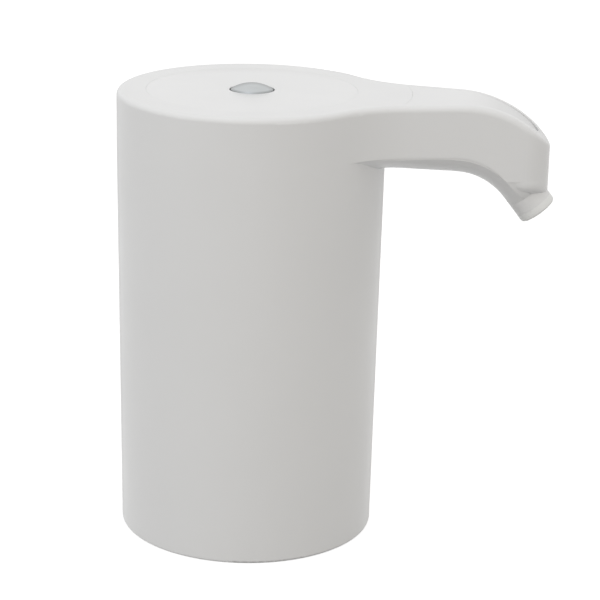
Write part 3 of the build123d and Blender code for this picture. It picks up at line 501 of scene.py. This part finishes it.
def sunk_plastic(name, colour, rough, high, low):
    """Shell plastic with painted shade in a recess: its colour darkens from one level down to a lower one."""
    tree, shader, place = shell_plastic(name, colour, rough)
    # Painted shade in the recess: the colour darkens below the upper level.
    depth = fit(tree, axes(tree, place)["Z"], low, high, 0.16, 0.0)
    over_base(tree, shader, depth, tinted(colour, 0.4))


def drawn_metal(name, colour, rough, along):
    """Metal with streaks along one direction and faint stains in tone and gloss."""
    tree, shader, place = start_material(name)
    surface = use_group(tree, "drawn metal", place, Along=along)
    stain = surface.outputs["Stain"]
    stained = mixed(tree, stain, colour, tinted(colour, 0.93))
    streaked = mixed(tree, surface.outputs["Tone"], stained, tinted(colour, 0.86))
    tree.links.new(streaked, shader.inputs["Base Color"])
    tree.links.new(fit(tree, stain, 0, 1, rough, rough + 0.12), shader.inputs["Roughness"])
    shader.inputs["Metallic"].default_value = 1.0
    add_bump(tree, shader, surface.outputs["Height"], 0.004 * MM)


def plated_button(name, colour, radius):
    """Satin plating with a painted dark reflection: its colour darkens in a band round the rim and where the
    dome turns away from the eye.
    """
    tree, shader, place = start_material(name)
    surface = use_group(tree, "drawn metal", place, Along=(900.0, 900.0, 900.0))
    stain = surface.outputs["Stain"]
    satin = mixed(tree, stain, colour, tinted(colour, 0.95))
    part = axes(tree, place)
    across, along = (maths(tree, "MULTIPLY", part[axis], part[axis]) for axis in "XY")
    # Painted dark reflection: the colour darkens in a band out to the rim, and where the dome turns from the
    # eye.
    painted_rim_band_start = 0.88 * radius
    rim = fit(tree, maths(tree, "SQRT", maths(tree, "ADD", across, along)), painted_rim_band_start, radius, 0.0, 0.5)
    weight = tree.nodes.new("ShaderNodeLayerWeight")
    painted_grazing_darkening = fit(tree, weight.outputs["Facing"], 0.62, 0.95, 0.0, 0.62)
    shade = maths(tree, "MAXIMUM", rim, painted_grazing_darkening)
    tree.links.new(mixed(tree, shade, satin, tinted(colour, 0.12)), shader.inputs["Base Color"])
    tree.links.new(fit(tree, stain, 0, 1, 0.34, 0.42), shader.inputs["Roughness"])
    shader.inputs["Metallic"].default_value = 0.9
    add_bump(tree, shader, surface.outputs["Height"], 0.002 * MM)


def circuit_board(name, colour, copper):
    """Solder mask over copper tracks: the tracks are the edges of square-sided cells, with round pads."""
    tree, shader, place = start_material(name)
    near, far = (cells(tree, place, 420.0, feature, "CHEBYCHEV") for feature in ("F1", "F2"))
    track = fit(tree, maths(tree, "SUBTRACT", far, near), 0.06, 0.10, 1.0, 0.0)
    pad = fit(tree, cells(tree, place, 260.0), 0.09, 0.12, 1.0, 0.0)
    covered = mixed(tree, track, colour, tinted(colour, 1.9))
    tree.links.new(mixed(tree, pad, covered, copper), shader.inputs["Base Color"])
    tree.links.new(fit(tree, pad, 0, 1, 0.0, 0.9), shader.inputs["Metallic"])
    shader.inputs["Roughness"].default_value = 0.28
    add_bump(tree, shader, maths(tree, "MAXIMUM", track, pad), 0.03 * MM)


def silicone(name, colour):
    """Milky soft silicone: light passes under its surface, and dust dulls it in places."""
    tree, shader, place = start_material(name)
    surface = use_group(tree, "moulded surface", place, Grain=1800.0, Wave=240.0)
    smudge = surface.outputs["Smudge"]
    tree.links.new(mixed(tree, smudge, colour, tinted(colour, 0.95)), shader.inputs["Base Color"])
    tree.links.new(fit(tree, smudge, 0, 1, 0.38, 0.55), shader.inputs["Roughness"])
    shader.inputs["Subsurface Weight"].default_value = 0.35
    shader.inputs["Subsurface Scale"].default_value = 2.0 * MM
    add_bump(tree, shader, surface.outputs["Height"], 0.02 * MM)


def make_materials(settings):
    """Every finish of the pump. Each has the name of its slot in the record, apart from the lid's."""
    GROUPS["moulded surface"] = moulding_group()
    GROUPS["drawn metal"] = brushed_group()
    white = tuple(settings.housing.colour)
    shell_plastic("housing_white", white, 0.30)
    shell_plastic("cover_white", tinted(white, 1.01), 0.28)
    # The lid's white carries painted shade in its recess.
    sunk_plastic("lid_white", white, 0.28, TOP - 0.1 * MM, TOP - 2.2 * MM)
    # The nozzle's lighter white is partly painted light.
    shell_plastic("nozzle_white", tuple(settings.housing.nozzle_colour), 0.32)
    plated_button("button_silver", tuple(settings.button.colour), settings.button.radius)
    silicone("silicone_clear", (0.78, 0.79, 0.77))
    moulded_plastic("frame_plastic", (0.66, 0.66, 0.64), 0.46, grain=3500.0, depth=0.04 * MM)
    moulded_plastic("base_plastic", (0.70, 0.70, 0.69), 0.42, grain=3200.0, depth=0.04 * MM)
    moulded_plastic("cell_wrap", (0.05, 0.20, 0.42), 0.22, wave=900.0, depth=0.03 * MM, tone=0.9)
    drawn_metal("nickel", (0.66, 0.64, 0.60), 0.30, (9000.0, 500.0, 9000.0))
    circuit_board("board_green", (0.02, 0.15, 0.07), (0.72, 0.66, 0.52))
    moulded_plastic("black_plastic", (0.02, 0.02, 0.022), 0.42, grain=5000.0, depth=0.03 * MM)
    moulded_plastic("led_lens", (0.80, 0.80, 0.72), 0.12)
    drawn_metal("steel", (0.56, 0.56, 0.57), 0.30, (9000.0, 9000.0, 400.0))
    moulded_plastic("magnet", (0.05, 0.05, 0.055), 0.62, grain=4000.0, depth=0.05 * MM, tone=0.8)
    drawn_metal("copper", (0.62, 0.27, 0.13), 0.28, (9000.0, 9000.0, 600.0))
    moulded_plastic("pump_plastic", (0.45, 0.46, 0.47), 0.40, grain=3000.0, depth=0.04 * MM)
    moulded_plastic("gear_plastic", (0.78, 0.76, 0.69), 0.36, grain=3000.0)


# Pieces
class PUMP_OT_finishes(bpy.types.Operator):
    """Make the finishes and give each carried-over node its own"""
    bl_idname = "pump.finishes"
    bl_label = "Finishes"

    def execute(self, context):
        make_materials(context.scene.bottle_pump)
        for part in frame["record"]["subparts"]:
            obj = frame["nodes"][part["node"]]
            for holder in obj.material_slots:
                holder.material = MATERIALS[part["material_slot"]]
        return {"FINISHED"}


class PUMP_OT_button(bpy.types.Operator):
    """Add the domed push button with its flange and stem"""
    bl_idname = "pump.button"
    bl_label = "Push button"

    def execute(self, context):
        settings = context.scene.bottle_pump
        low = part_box("button_cap")[0].z
        radius, rise = settings.button.radius, settings.button.rise
        dome = (radius ** 2 + rise ** 2) / (2 * rise)
        r = np.sin(np.linspace(0, math.asin((radius - settings.button.edge) / dome), 24)) * dome
        crown = np.stack([r, TOP + rise - dome + np.sqrt(dome ** 2 - r ** 2)], -1)
        flange_r, flange_low, flange_top = 7.4 * MM, TOP - 8.2 * MM, TOP - 7.2 * MM
        inside, roof, stem = radius - 1.2 * MM, TOP - 1.2 * MM, 1.6 * MM
        corners = [crown[-1], (radius, TOP - 0.1 * MM), (radius, flange_top), (flange_r, flange_top),
                   (flange_r, flange_low), (inside, flange_low), (inside, roof), (stem, roof),
                   (stem, low), (0, low)]
        radii = np.array([0, 0.3, 0.15, 0.35, 0.35, 0.1, 0.3, 0.3, 0.3, 0]) * MM
        profile = np.concatenate([crown, rounded(corners, radii, closed=False)])
        shells = [turned(profile, settings.round_steps)]
        piece("push_button", shells, "button_silver", "button", ["button_cap"])
        return {"FINISHED"}


class PUMP_OT_cover(bpy.types.Operator):
    """Add the round cover with its button guide, skirt and snaps"""
    bl_idname = "pump.cover"
    bl_label = "Top cover"

    def execute(self, context):
        settings = context.scene.bottle_pump
        edge = settings.housing.edge
        ledge, guide_low, skirt_low = TOP - 1.6 * MM, TOP - 6.9 * MM, TOP - 4.8 * MM
        bore, guide = 6.2 * MM, 8.0 * MM
        skirt_in, skirt_out = COVER_R - 4.42 * MM, COVER_R - 3.22 * MM
        rim = COVER_R + 0.05 * MM
        corners = [(bore, TOP), (rim, TOP), (rim, ledge), (skirt_out, ledge), (skirt_out, skirt_low),
                   (skirt_in, skirt_low), (skirt_in, ledge), (guide, ledge), (guide, guide_low),
                   (bore, guide_low)]
        radii = np.array([1.2, 0.6, 0.5, 0.5, 0.8, 0.8, 1, 1, 0.8, 0.8]) * edge
        shells = [turned(rounded(corners, radii), settings.round_steps, closed=True)]
        hook = rounded([(-0.3, 0), (0.15, 0), (0.6, 0.75), (0.6, 1.2), (-0.3, 1.3)], 0.12, 4) * MM
        hook += [skirt_out, skirt_low]
        half = 3.0 * MM / skirt_out
        shells += [part_turned(hook, a - half, a + half, 9) for a in np.radians((30, 150, 270))]
        piece("cover_disc", shells, "cover_white", "housing", ["top_cover"])
        return {"FINISHED"}


class PUMP_OT_lid(bpy.types.Operator):
    """Add the lid strip sunk in the arm's top"""
    bl_idname = "pump.lid"
    bl_label = "Spout lid"

    def execute(self, context):
        top = self.strip(droop_r=30.2, level=125.4)
        low = self.strip(droop_r=29.92, level=123.82)
        piece("lid_strip", [between(top * MM, low * MM)], "lid_white", "housing", ["spout_lid"],
              slot="cover_white", bevel=context.scene.bottle_pump.housing.lid_edge)
        return {"FINISHED"}

    def strip(self, droop_r, level):
        """Grid in s across and v along. The sides are the lines y = s (a - b x). The back end lies on the
        circle about the housing's axis with the radius back, and the front end on the circle about nose_x
        with the radius nose, both solved from a quadratic in x. The height is level as far as bend_x, then
        an arc about (bend_x, level - droop_r)."""
        lean = math.radians(12.08)
        nose_x, nose, back, bend_x = 73.4, 5.05, 43.95, 57.0
        a = (nose_x * math.sin(lean) + nose) / math.cos(lean)
        b = math.tan(lean)
        s = np.sin(np.linspace(-math.pi / 2, math.pi / 2, 33))[:, None]
        v = np.linspace(0, 1, 90)[None, :]
        square = 1 + (s * b) ** 2
        lead = s ** 2 * a * b
        back_x = (lead + np.sqrt(lead ** 2 - square * (s ** 2 * a ** 2 - back ** 2))) / square
        ahead = nose_x + lead
        spread = ahead ** 2 - square * (nose_x ** 2 + s ** 2 * a ** 2 - nose ** 2)
        front_x = (ahead + np.sqrt(np.maximum(spread, 0))) / square
        x = back_x * (1 - v) + front_x * v
        z = level - droop_r + np.sqrt(droop_r ** 2 - np.maximum(x - bend_x, 0) ** 2)
        return np.stack([x, s * (a - b * x), z], -1)


class PUMP_OT_nozzle(bpy.types.Operator):
    """Add the round nozzle with its lip, throat and barb"""
    bl_idname = "pump.nozzle"
    bl_label = "Nozzle"

    def execute(self, context):
        settings = context.scene.bottle_pump
        lip = settings.housing.nozzle_lip / MM
        corners = [(1.3, 0.3), (1.6, 0.3), (1.98, 1.5), (1.85, 1.6), (1.85, 4.94), (3.8, 4.94), (3.8, 6.64),
                   (5.4, 6.64), (5.4, 8.98), (2.8, 8.98), (2.8, 6.74), (1.3, 6.74)]
        radii = [0.1, 0.1, 0.05, 0, 0.1, 0.2, 0.1, 0.08, lip, 0.35, 0.2, 0.1]
        shell = turned(rounded(corners, radii) * MM, settings.round_steps, closed=True)
        spot = Vector((DROOP_X + DROOP_R * math.sin(DROOP), 0, DROOP_Z + DROOP_R * math.cos(DROOP))) * MM
        turn = Matrix.Rotation(math.pi / 2 + DROOP, 4, "Y")
        shells = [placed(shell, Matrix.Translation(spot) @ turn)]
        piece("nozzle_ring", shells, "nozzle_white", "housing", ["nozzle"])
        return {"FINISHED"}


class PUMP_OT_liner(bpy.types.Operator):
    """Add the silicone liner of the bottle's socket, with its grip grooves"""
    bl_idname = "pump.liner"
    bl_label = "Neck liner"

    def execute(self, context):
        settings = context.scene.bottle_pump
        low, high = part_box("neck_ring")[0].z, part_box("neck_ring")[1].z
        lip_top, spacing, depth = low + 1.2 * MM, 3.1 * MM, 0.45 * MM
        z = np.linspace(high - 0.6 * MM, lip_top, 120)
        groove = depth * (0.5 - 0.5 * np.cos(2 * np.pi * (z - low) / spacing)) ** 2
        inner = np.stack([NECK_R + groove, z], -1)
        entry, wall, lip = NECK_R + 0.3 * MM, NECK_R + 1.35 * MM, NECK_R + 2.6 * MM
        corners = [(entry, low), (lip, low), (lip, lip_top), (wall, lip_top), (wall, high), (entry, high)]
        outer = rounded(corners, np.array([0.25, 0.4, 0.4, 0.15, 0.3, 0.25]) * MM)
        shells = [turned(np.concatenate([inner, outer]), settings.round_steps, closed=True)]
        piece("neck_liner", shells, "silicone_clear", "housing", ["neck_ring"])
        return {"FINISHED"}


class PUMP_OT_screws(bpy.types.Operator):
    """Add the pan-head screws with their cross recess and thread"""
    bl_idname = "pump.screws"
    bl_label = "Screws"

    def execute(self, context):
        works = context.scene.bottle_pump.works
        for node, seat, length, down, spots in (
                ("base_screws", 38.0, 8.2, -1, ((0, 21.0), (-18.1865, -10.5), (18.1865, -10.5))),
                ("frame_screws", 48.0, 8.0, -1, ((14.9018, 25.8107), (-29.8036, 0), (14.9018, -25.8107))),
                ("board_screws", BOARD_TOP, 6.6, 1,
                 ((-5.9942, 23.977), (3.995, -21.9778), (-20.9798, -9.9893))),
                ("pump_screws", 62.6, 14.6, 1, ((-6.0001, -14.208), (18.601, -14.208), (6.3004, 19.001)))):
            turn = Matrix.Diagonal((1, down, down, 1))
            shells = [placed(shell, Matrix.Translation(Vector((x, y, seat)) * MM) @ turn)
                      for x, y in spots for shell in self.screw(length * MM, works)]
            piece(node.replace("_screws", "_fasteners"), shells, "steel", "housing", [node])
        return {"FINISHED"}

    def screw(self, length, works):
        """Head: z = top - 0.05 r, less a recess in the form of a cross. Thread: the radius goes from core to
        crest with the phase p = z / pitch + t / turn as 1.5 (1 - |2 p - 1|) - 0.25, cut off at 0 and 1, and
        it closes in over the tip."""
        top, edge_r, edge_top, crown_r = 1.4 * MM, 2.0 * MM, 1.36 * MM, 1.3 * MM
        r = np.linspace(0, crown_r, 27)
        crown = np.stack([r, top - 0.05 * r], -1)
        side = rounded([crown[-1], (edge_r, edge_top), (edge_r, 0), (0, 0)],
                       np.array([0, 0.45, 0.1, 0]) * MM, closed=False)
        head, faces = turned(np.concatenate([crown, side[ARC_STEPS:]]), 96)
        half, slope, reach, fade, depth = 0.36 * MM, 0.13 * MM, 1.1 * MM, 0.3 * MM, 0.68 * MM
        across = np.abs(head[:, :2])
        arms = [np.clip((half - across[:, i]) / slope, 0, 1)
                * np.clip((reach - across[:, 1 - i]) / fade, 0, 1) for i in (0, 1)]
        upper = (head[:, 2] > 1.2 * MM) & (np.hypot(across[:, 0], across[:, 1]) < 1.35 * MM)
        head[:, 2] -= np.where(upper, np.maximum(*arms), 0) * depth
        pitch, crest_r, start, tip = works.thread_pitch, 0.99 * MM, -0.4 * MM, 1.6 * MM
        z = np.linspace(0.3 * MM, -length, int(length / pitch * 10))[:, None]
        t = circle(32)[None]
        phase = (z / pitch + t / (2 * np.pi)) % 1
        ridge = np.clip(1.5 * (1 - np.abs(2 * phase - 1)) - 0.25, 0, 1) * (z < start)
        closing = 0.35 + 0.65 * np.clip((z + length) / tip, 0, 1) ** 0.6
        radius = (crest_r - works.thread_depth * (1 - ridge)) * closing
        return (head, faces), capped(around(radius, z, t))


class PUMP_OT_tubes(bpy.types.Operator):
    """Add the outlet hose that runs through the arm, and the short inlet hose"""
    bl_idname = "pump.tubes"
    bl_label = "Tubes"

    def execute(self, context):
        riser_x, low, rise, bend, end = 21.0, 62.6, 98.6, 12.0, 4.64
        elbow_x, level = riser_x + bend, rise + bend
        up = np.stack([np.full(40, riser_x), np.linspace(low, rise, 40)], -1)
        t = np.linspace(0, math.pi / 2, 24)[1:]
        elbow = np.stack([elbow_x - bend * np.cos(t), rise + bend * np.sin(t)], -1)
        run = np.stack([np.linspace(elbow_x, DROOP_X, 30)[1:], np.full(29, level)], -1)
        t = np.linspace(0, DROOP, 30)[1:]
        over = np.stack([DROOP_X + DROOP_R * np.sin(t), DROOP_Z + DROOP_R * np.cos(t)], -1)
        last = over[-1] + np.linspace(0, end, 10)[1:, None] * [math.cos(DROOP), -math.sin(DROOP)]
        way = np.concatenate([up, elbow, run, over, last])
        path = np.stack([way[:, 0], 0 * way[:, 0], way[:, 1]], -1) * MM
        side, outer, bore = np.array([0.0, 1.0, 0.0]), 3.0, 2.0
        shells = [hose(path, side, outer * MM, bore * MM, 48)]
        piece("outlet_hose", shells, "silicone_clear", "housing", ["outlet_tube"])
        profile = rounded([(bore, 40.4), (outer, 40.4), (outer, 50.0), (bore, 50.0)], 0.15) * MM
        shells = [turned(profile, 64, closed=True)]
        piece("inlet_hose", shells, "silicone_clear", "housing", ["inlet_tube"])
        return {"FINISHED"}


class PUMP_OT_cell(bpy.types.Operator):
    """Add the cell with its shrunk sleeve, rolled groove and end cap"""
    bl_idname = "pump.cell"
    bl_label = "Cell"

    def execute(self, context):
        steps = context.scene.bottle_pump.round_steps
        place = np.array([-16.9969, 11.99]) * MM
        corners = [(0, 43.2), (7.0, 43.2), (7.0, 43.35), (9.2, 43.2), (9.2, 104.6), (8.9, 105.0),
                   (8.9, 105.3), (9.2, 105.7), (9.2, 107.4), (7.3, 107.35), (7.3, 107.0), (0, 107.0)]
        radii = [0, 0.05, 0.05, 0.7, 0.3, 0.3, 0.3, 0.3, 0.6, 0.1, 0.05, 0]
        sleeve = rounded(corners, radii, closed=False) * MM
        corners = [(0, 106.9), (6.9, 106.9), (6.9, 107.2), (3.5, 107.3), (3.0, 107.6), (3.0, 108.2),
                   (0, 108.2)]
        cap = rounded(corners, [0, 0.1, 0.1, 0.3, 0.2, 0.25, 0], closed=False) * MM
        shells = [turned(sleeve, steps, place), turned(cap, steps, place)]
        piece("cell_in_sleeve", shells, "cell_wrap", "housing", ["battery_cell"])
        return {"FINISHED"}


class PUMP_OT_winding(bpy.types.Operator):
    """Add the wound coils of the motor and the commutator with its slots"""
    bl_idname = "pump.winding"
    bl_label = "Winding"

    def execute(self, context):
        works = context.scene.bottle_pump.works
        place = Vector((MOTOR_X, MOTOR_Y, 0)) * MM
        side = np.array([1.0, 0.0, 0.0])
        third, gap = 2 * math.pi / 3, 0.14
        start = third / 2 + gap / 2
        section = rounded([(1.05, 86.4), (3.0, 86.4), (3.0, 90.6), (1.05, 90.6)], 0.12, 5) * MM
        bar = part_turned(section, start, start + third - gap, 24)
        wires = [capped(swept(self.wire(layer, works.wire_radius / MM) * MM, side, works.wire_radius, 8))
                 for layer in range(works.wire_layers)]
        turns = [Matrix.Translation(place) @ Matrix.Rotation(third * pole, 4, "Z") for pole in range(3)]
        coils = [placed(wire, turn) for turn in turns for wire in wires]
        bars = [placed(bar, turn) for turn in turns]
        piece("wound_coils", coils, "copper", "rotor", ["armature_coils"])
        piece("commutator_bars", bars, "copper", "rotor", ["commutator"])
        return {"FINISHED"}

    def wire(self, layer, wire):
        """Winding round one pole that lies along X. Each turn is the rounded box |y / w|^8 + |z / h|^8 = 1,
        and x grows evenly from turn to turn. w keeps inside the hank's outline, the circle of hank_r and
        the side, less the layers outside it, and clear of the pole's core."""
        pole_x, pole_length, core, side, hank_r, height, middle = 3.4, 3.45, 1.46, 3.6, 7.05, 9.75, 76.6
        room = pole_length - 2 * wire
        turns = int(room / (2 * wire)) + 1
        p = np.linspace(0, 2 * np.pi * turns, turns * 72)
        x = pole_x + wire + p / (2 * np.pi) * room / turns
        w = np.minimum(side, np.sqrt(np.maximum(hank_r ** 2 - x ** 2, 0))) - wire * (1 + 2 * layer)
        w = np.maximum(w, core + wire)
        h = height - wire * (1 + 2 * layer)
        box = (np.abs(np.cos(p)) ** 8 + np.abs(np.sin(p)) ** 8) ** (-1 / 8)
        return np.stack([x, w * np.cos(p) * box, middle + h * np.sin(p) * box], -1)


class PUMP_OT_electronics(bpy.types.Operator):
    """Add the chips with their legs, the light and the push switch's case"""
    bl_idname = "pump.electronics"
    bl_label = "Electronics"

    def execute(self, context):
        legs = context.scene.bottle_pump.works.chip_legs
        spots = ((6.75, 11.6913), (-13.5, 0.0), (6.75, -11.6913))
        shells = [shell for x, y in spots for shell in self.chip(x, y, legs)]
        piece("chips", shells, "black_plastic", "housing", ["board_parts"])
        place = np.array([-9.5, 0]) * MM
        half = 1.4 * MM
        profile = self.on_board([(0, 0.05), (0.96, 0.05), (1, 0.1), (1, 1.25), (0.95, 1.3), (0.84, 1.3),
                                 (0.76, 1.15), (0.0, 1.15)])
        lens = rounded([(0, 1.1), (1.05, 1.1), (1.05, 1.35), (0.7, 1.75), (0, 1.8)], [0, 0, 0.2, 0.5, 0],
                       closed=False)
        shells = [squared(profile, (half, half), 96, place, power=14),
                  turned(self.on_board(lens, MM), 64, place)]
        piece("light", shells, "led_lens", "housing", ["status_led"])
        case = self.on_board([(0.02, 0.9), (0.02, 3.35), (0.06, 3.5), (0.92, 3.5), (0.98, 3.4), (0.98, 2.5),
                              (0.94, 2.4), (0.94, 2.3), (1, 2.2), (1, 0.15), (0.97, 0.05), (0.02, 0.05)])
        half, hole, top, pin_r, spread = 3.0 * MM, 1.78 * MM, 3.5, 0.32, 2.2 * MM
        pin = self.on_board([(0, top - 0.02), (pin_r, top - 0.02), (pin_r, top), (0, top)], MM)
        shells = [squared(case, (half, half), 128, (0, 0), power=16, hole=hole, closed=True)]
        shells += [turned(pin, 24, (x, y)) for y in (spread, -spread) for x in (spread, -spread)]
        piece("switch_case", shells, "black_plastic", "housing", ["switch_body"])
        return {"FINISHED"}

    def on_board(self, profile, across=1):
        """Profile with its heights in millimetres above the board, and its breadths in the given unit."""
        return np.array(profile) * [across, MM] + [0, BOARD_TOP * MM]

    def chip(self, x, y, legs):
        """Moulded body with sloping sides, and bent legs along two of them."""
        place = np.array([x, y]) * MM
        half_x, half_y, row, leg_half, leg_thick = 2.5 * MM, 1.4 * MM, 4.0, 0.18, 0.14
        profile = self.on_board([(0, 0.12), (0.9, 0.12), (0.93, 0.15), (1, 0.75), (0.94, 1.44), (0.9, 1.5),
                                 (0, 1.5)])
        path = rounded([(1.3, 0.72), (1.62, 0.72), (1.72, 0.08), (1.98, 0.08)], [0, 0.12, 0.12, 0],
                       closed=False)
        shells = [squared(profile, (half_x, half_y), 96, place, power=14)]
        for side in (-1, 1):
            for i in range(legs):
                along = np.full(len(path), x + row * ((i + 0.5) / legs - 0.5))
                bend = np.stack([along, y + side * path[:, 0], BOARD_TOP + path[:, 1]], -1)
                shells.append(ribbon(bend * MM, np.array([leg_half, 0, 0]) * MM, leg_thick * MM))
        return shells


class PUMP_OT_stage(bpy.types.Operator):
    """Set the camera, the floor and the soft light"""
    bl_idname = "pump.stage"
    bl_label = "Stage"

    def execute(self, context):
        self.add_camera(context)
        self.add_floor(context.scene.bottle_pump.stage)
        self.add_light(context)
        self.add_world(context)
        context.scene.view_settings.view_transform = "Standard"
        return {"FINISHED"}

    def add_camera(self, context):
        """Camera at the photograph's angle: yaw and pitch give its line of sight, then it rolls about it."""
        eye, lens = (0.05815, -0.57245, 0.2467), 128.31
        yaw, pitch, roll = np.radians((-4.37, 17.51, 1.26)).tolist()
        ahead = Vector((math.sin(yaw) * math.cos(pitch), math.cos(yaw) * math.cos(pitch), -math.sin(pitch)))
        right = ahead.cross(Vector((0, 0, 1))).normalized()
        up = right.cross(ahead)
        across = right * math.cos(roll) + up * math.sin(roll)
        over = -right * math.sin(roll) + up * math.cos(roll)
        data = bpy.data.cameras.new("camera")
        data.sensor_width = 36.0
        data.lens = lens
        camera = bpy.data.objects.new("camera", data)
        camera.matrix_world = Matrix.Translation(eye) @ Matrix((across, over, -ahead)).transposed().to_4x4()
        context.scene.collection.objects.link(camera)
        context.scene.camera = camera

    def add_floor(self, stage):
        """Large round floor; its white is the colour of the diffuse surface and a glow for the camera."""
        tree, shader, place = start_material("floor")
        shader.inputs["Base Color"].default_value = (stage.floor_grey, stage.floor_grey, stage.floor_grey, 1)
        shader.inputs["Roughness"].default_value = 0.9
        shader.inputs["Specular IOR Level"].default_value = 0.0
        add_bump(tree, shader, noise(tree, place, 700.0, 2.0), 0.02 * MM)
        glow = tree.nodes.new("ShaderNodeEmission")
        glow.inputs["Strength"].default_value = stage.floor_glow
        dark = tree.nodes.new("ShaderNodeEmission")
        dark.inputs["Strength"].default_value = 0.0
        total = tree.nodes.new("ShaderNodeAddShader")
        tree.links.new(shader.outputs[0], total.inputs[0])
        tree.links.new(chosen(tree, seen_directly(tree), dark.outputs[0], glow.outputs[0]), total.inputs[1])
        tree.links.new(total.outputs[0], tree.nodes["Material Output"].inputs["Surface"])
        r = np.array([[0.0], [0.2], [1.0], [6.0]])
        points, faces = turned(np.concatenate([r, 0 * r], 1), 96)
        mesh = bpy.data.meshes.new("floor")
        mesh.from_pydata(points.tolist(), [], faces[:, ::-1].tolist())
        mesh.materials.append(MATERIALS["floor"])
        floor = bpy.data.objects.new("floor", mesh)
        bpy.context.scene.collection.objects.link(floor)

    def add_light(self, context):
        """Large soft lamps: cool ones overhead and at the left, warm ones in front and at the right."""
        stage = context.scene.bottle_pump.stage
        target = Vector((0.02, 0, 0.07))
        for name, power, spot, size, colour in (
                ("key", stage.key_power, (-0.32, -0.36, 1.35), 1.1, (0.87, 0.91, 1.0)),
                ("left", stage.left_power, (-1.1, -0.7, 0.45), 0.7, (0.96, 0.98, 1.0)),
                ("front", stage.front_power, (0.1, -1.3, 0.5), 0.8, (1.0, 0.91, 0.80)),
                ("right", stage.right_power, (0.9, -0.9, 0.5), 0.7, (1.0, 0.92, 0.82))):
            data = bpy.data.lights.new(name, "AREA")
            data.shape = "SQUARE"
            data.size = size
            data.energy = power
            data.color = colour
            lamp = bpy.data.objects.new(name, data)
            lamp.location = spot
            lamp.rotation_euler = (target - lamp.location).to_track_quat("-Z", "Y").to_euler()
            context.scene.collection.objects.link(lamp)

    def add_world(self, context):
        """Even white light; the camera, mirrors and glass see it at full white."""
        world = bpy.data.worlds.new("studio")
        world.use_nodes = True
        tree = world.node_tree
        light = tree.nodes["Background"]
        light.inputs["Color"].default_value = (1, 0.985, 0.955, 1)
        light.inputs["Strength"].default_value = context.scene.bottle_pump.stage.ambient
        white = tree.nodes.new("ShaderNodeBackground")
        white.inputs["Color"].default_value = (1, 1, 1, 1)
        sky = chosen(tree, seen_directly(tree), light.outputs[0], white.outputs[0])
        tree.links.new(sky, tree.nodes["World Output"].inputs["Surface"])
        context.scene.world = world


class PUMP_PT_sidebar(bpy.types.Panel):
    """Lists the pump's settings and the operators that make its pieces"""
    bl_idname = "PUMP_PT_sidebar"
    bl_label = "Bottle pump"
    bl_space_type = "VIEW_3D"
    bl_region_type = "UI"
    bl_category = "Bottle pump"

    def draw(self, context):
        settings = context.scene.bottle_pump
        self.layout.prop(settings, "round_steps")
        for group in (settings.button, settings.housing, settings.works, settings.stage):
            box = self.layout.box()
            for name in group.__annotations__:
                box.prop(group, name)
        for operator in OPERATORS:
            self.layout.operator(operator.bl_idname)


OPERATORS = (PUMP_OT_stage, PUMP_OT_finishes, PUMP_OT_button, PUMP_OT_cover, PUMP_OT_lid, PUMP_OT_nozzle,
             PUMP_OT_liner, PUMP_OT_screws, PUMP_OT_tubes, PUMP_OT_cell, PUMP_OT_winding, PUMP_OT_electronics)
SETTINGS = (ButtonSettings, HousingSettings, WorksSettings, StageSettings, PumpSettings)


def register():
    for cls in SETTINGS + OPERATORS + (PUMP_PT_sidebar,):
        bpy.utils.register_class(cls)
    bpy.types.Scene.bottle_pump = PointerProperty(type=PumpSettings)


def unregister():
    del bpy.types.Scene.bottle_pump
    for cls in reversed(SETTINGS + OPERATORS + (PUMP_PT_sidebar,)):
        bpy.utils.unregister_class(cls)


def main():
    """Make every piece in order."""
    register()
    bpy.ops.pump.stage()
    bpy.ops.pump.finishes()
    bpy.ops.pump.button()
    bpy.ops.pump.cover()
    bpy.ops.pump.lid()
    bpy.ops.pump.nozzle()
    bpy.ops.pump.liner()
    bpy.ops.pump.screws()
    bpy.ops.pump.tubes()
    bpy.ops.pump.cell()
    bpy.ops.pump.winding()
    bpy.ops.pump.electronics()


if __name__ == "__main__":
    main()
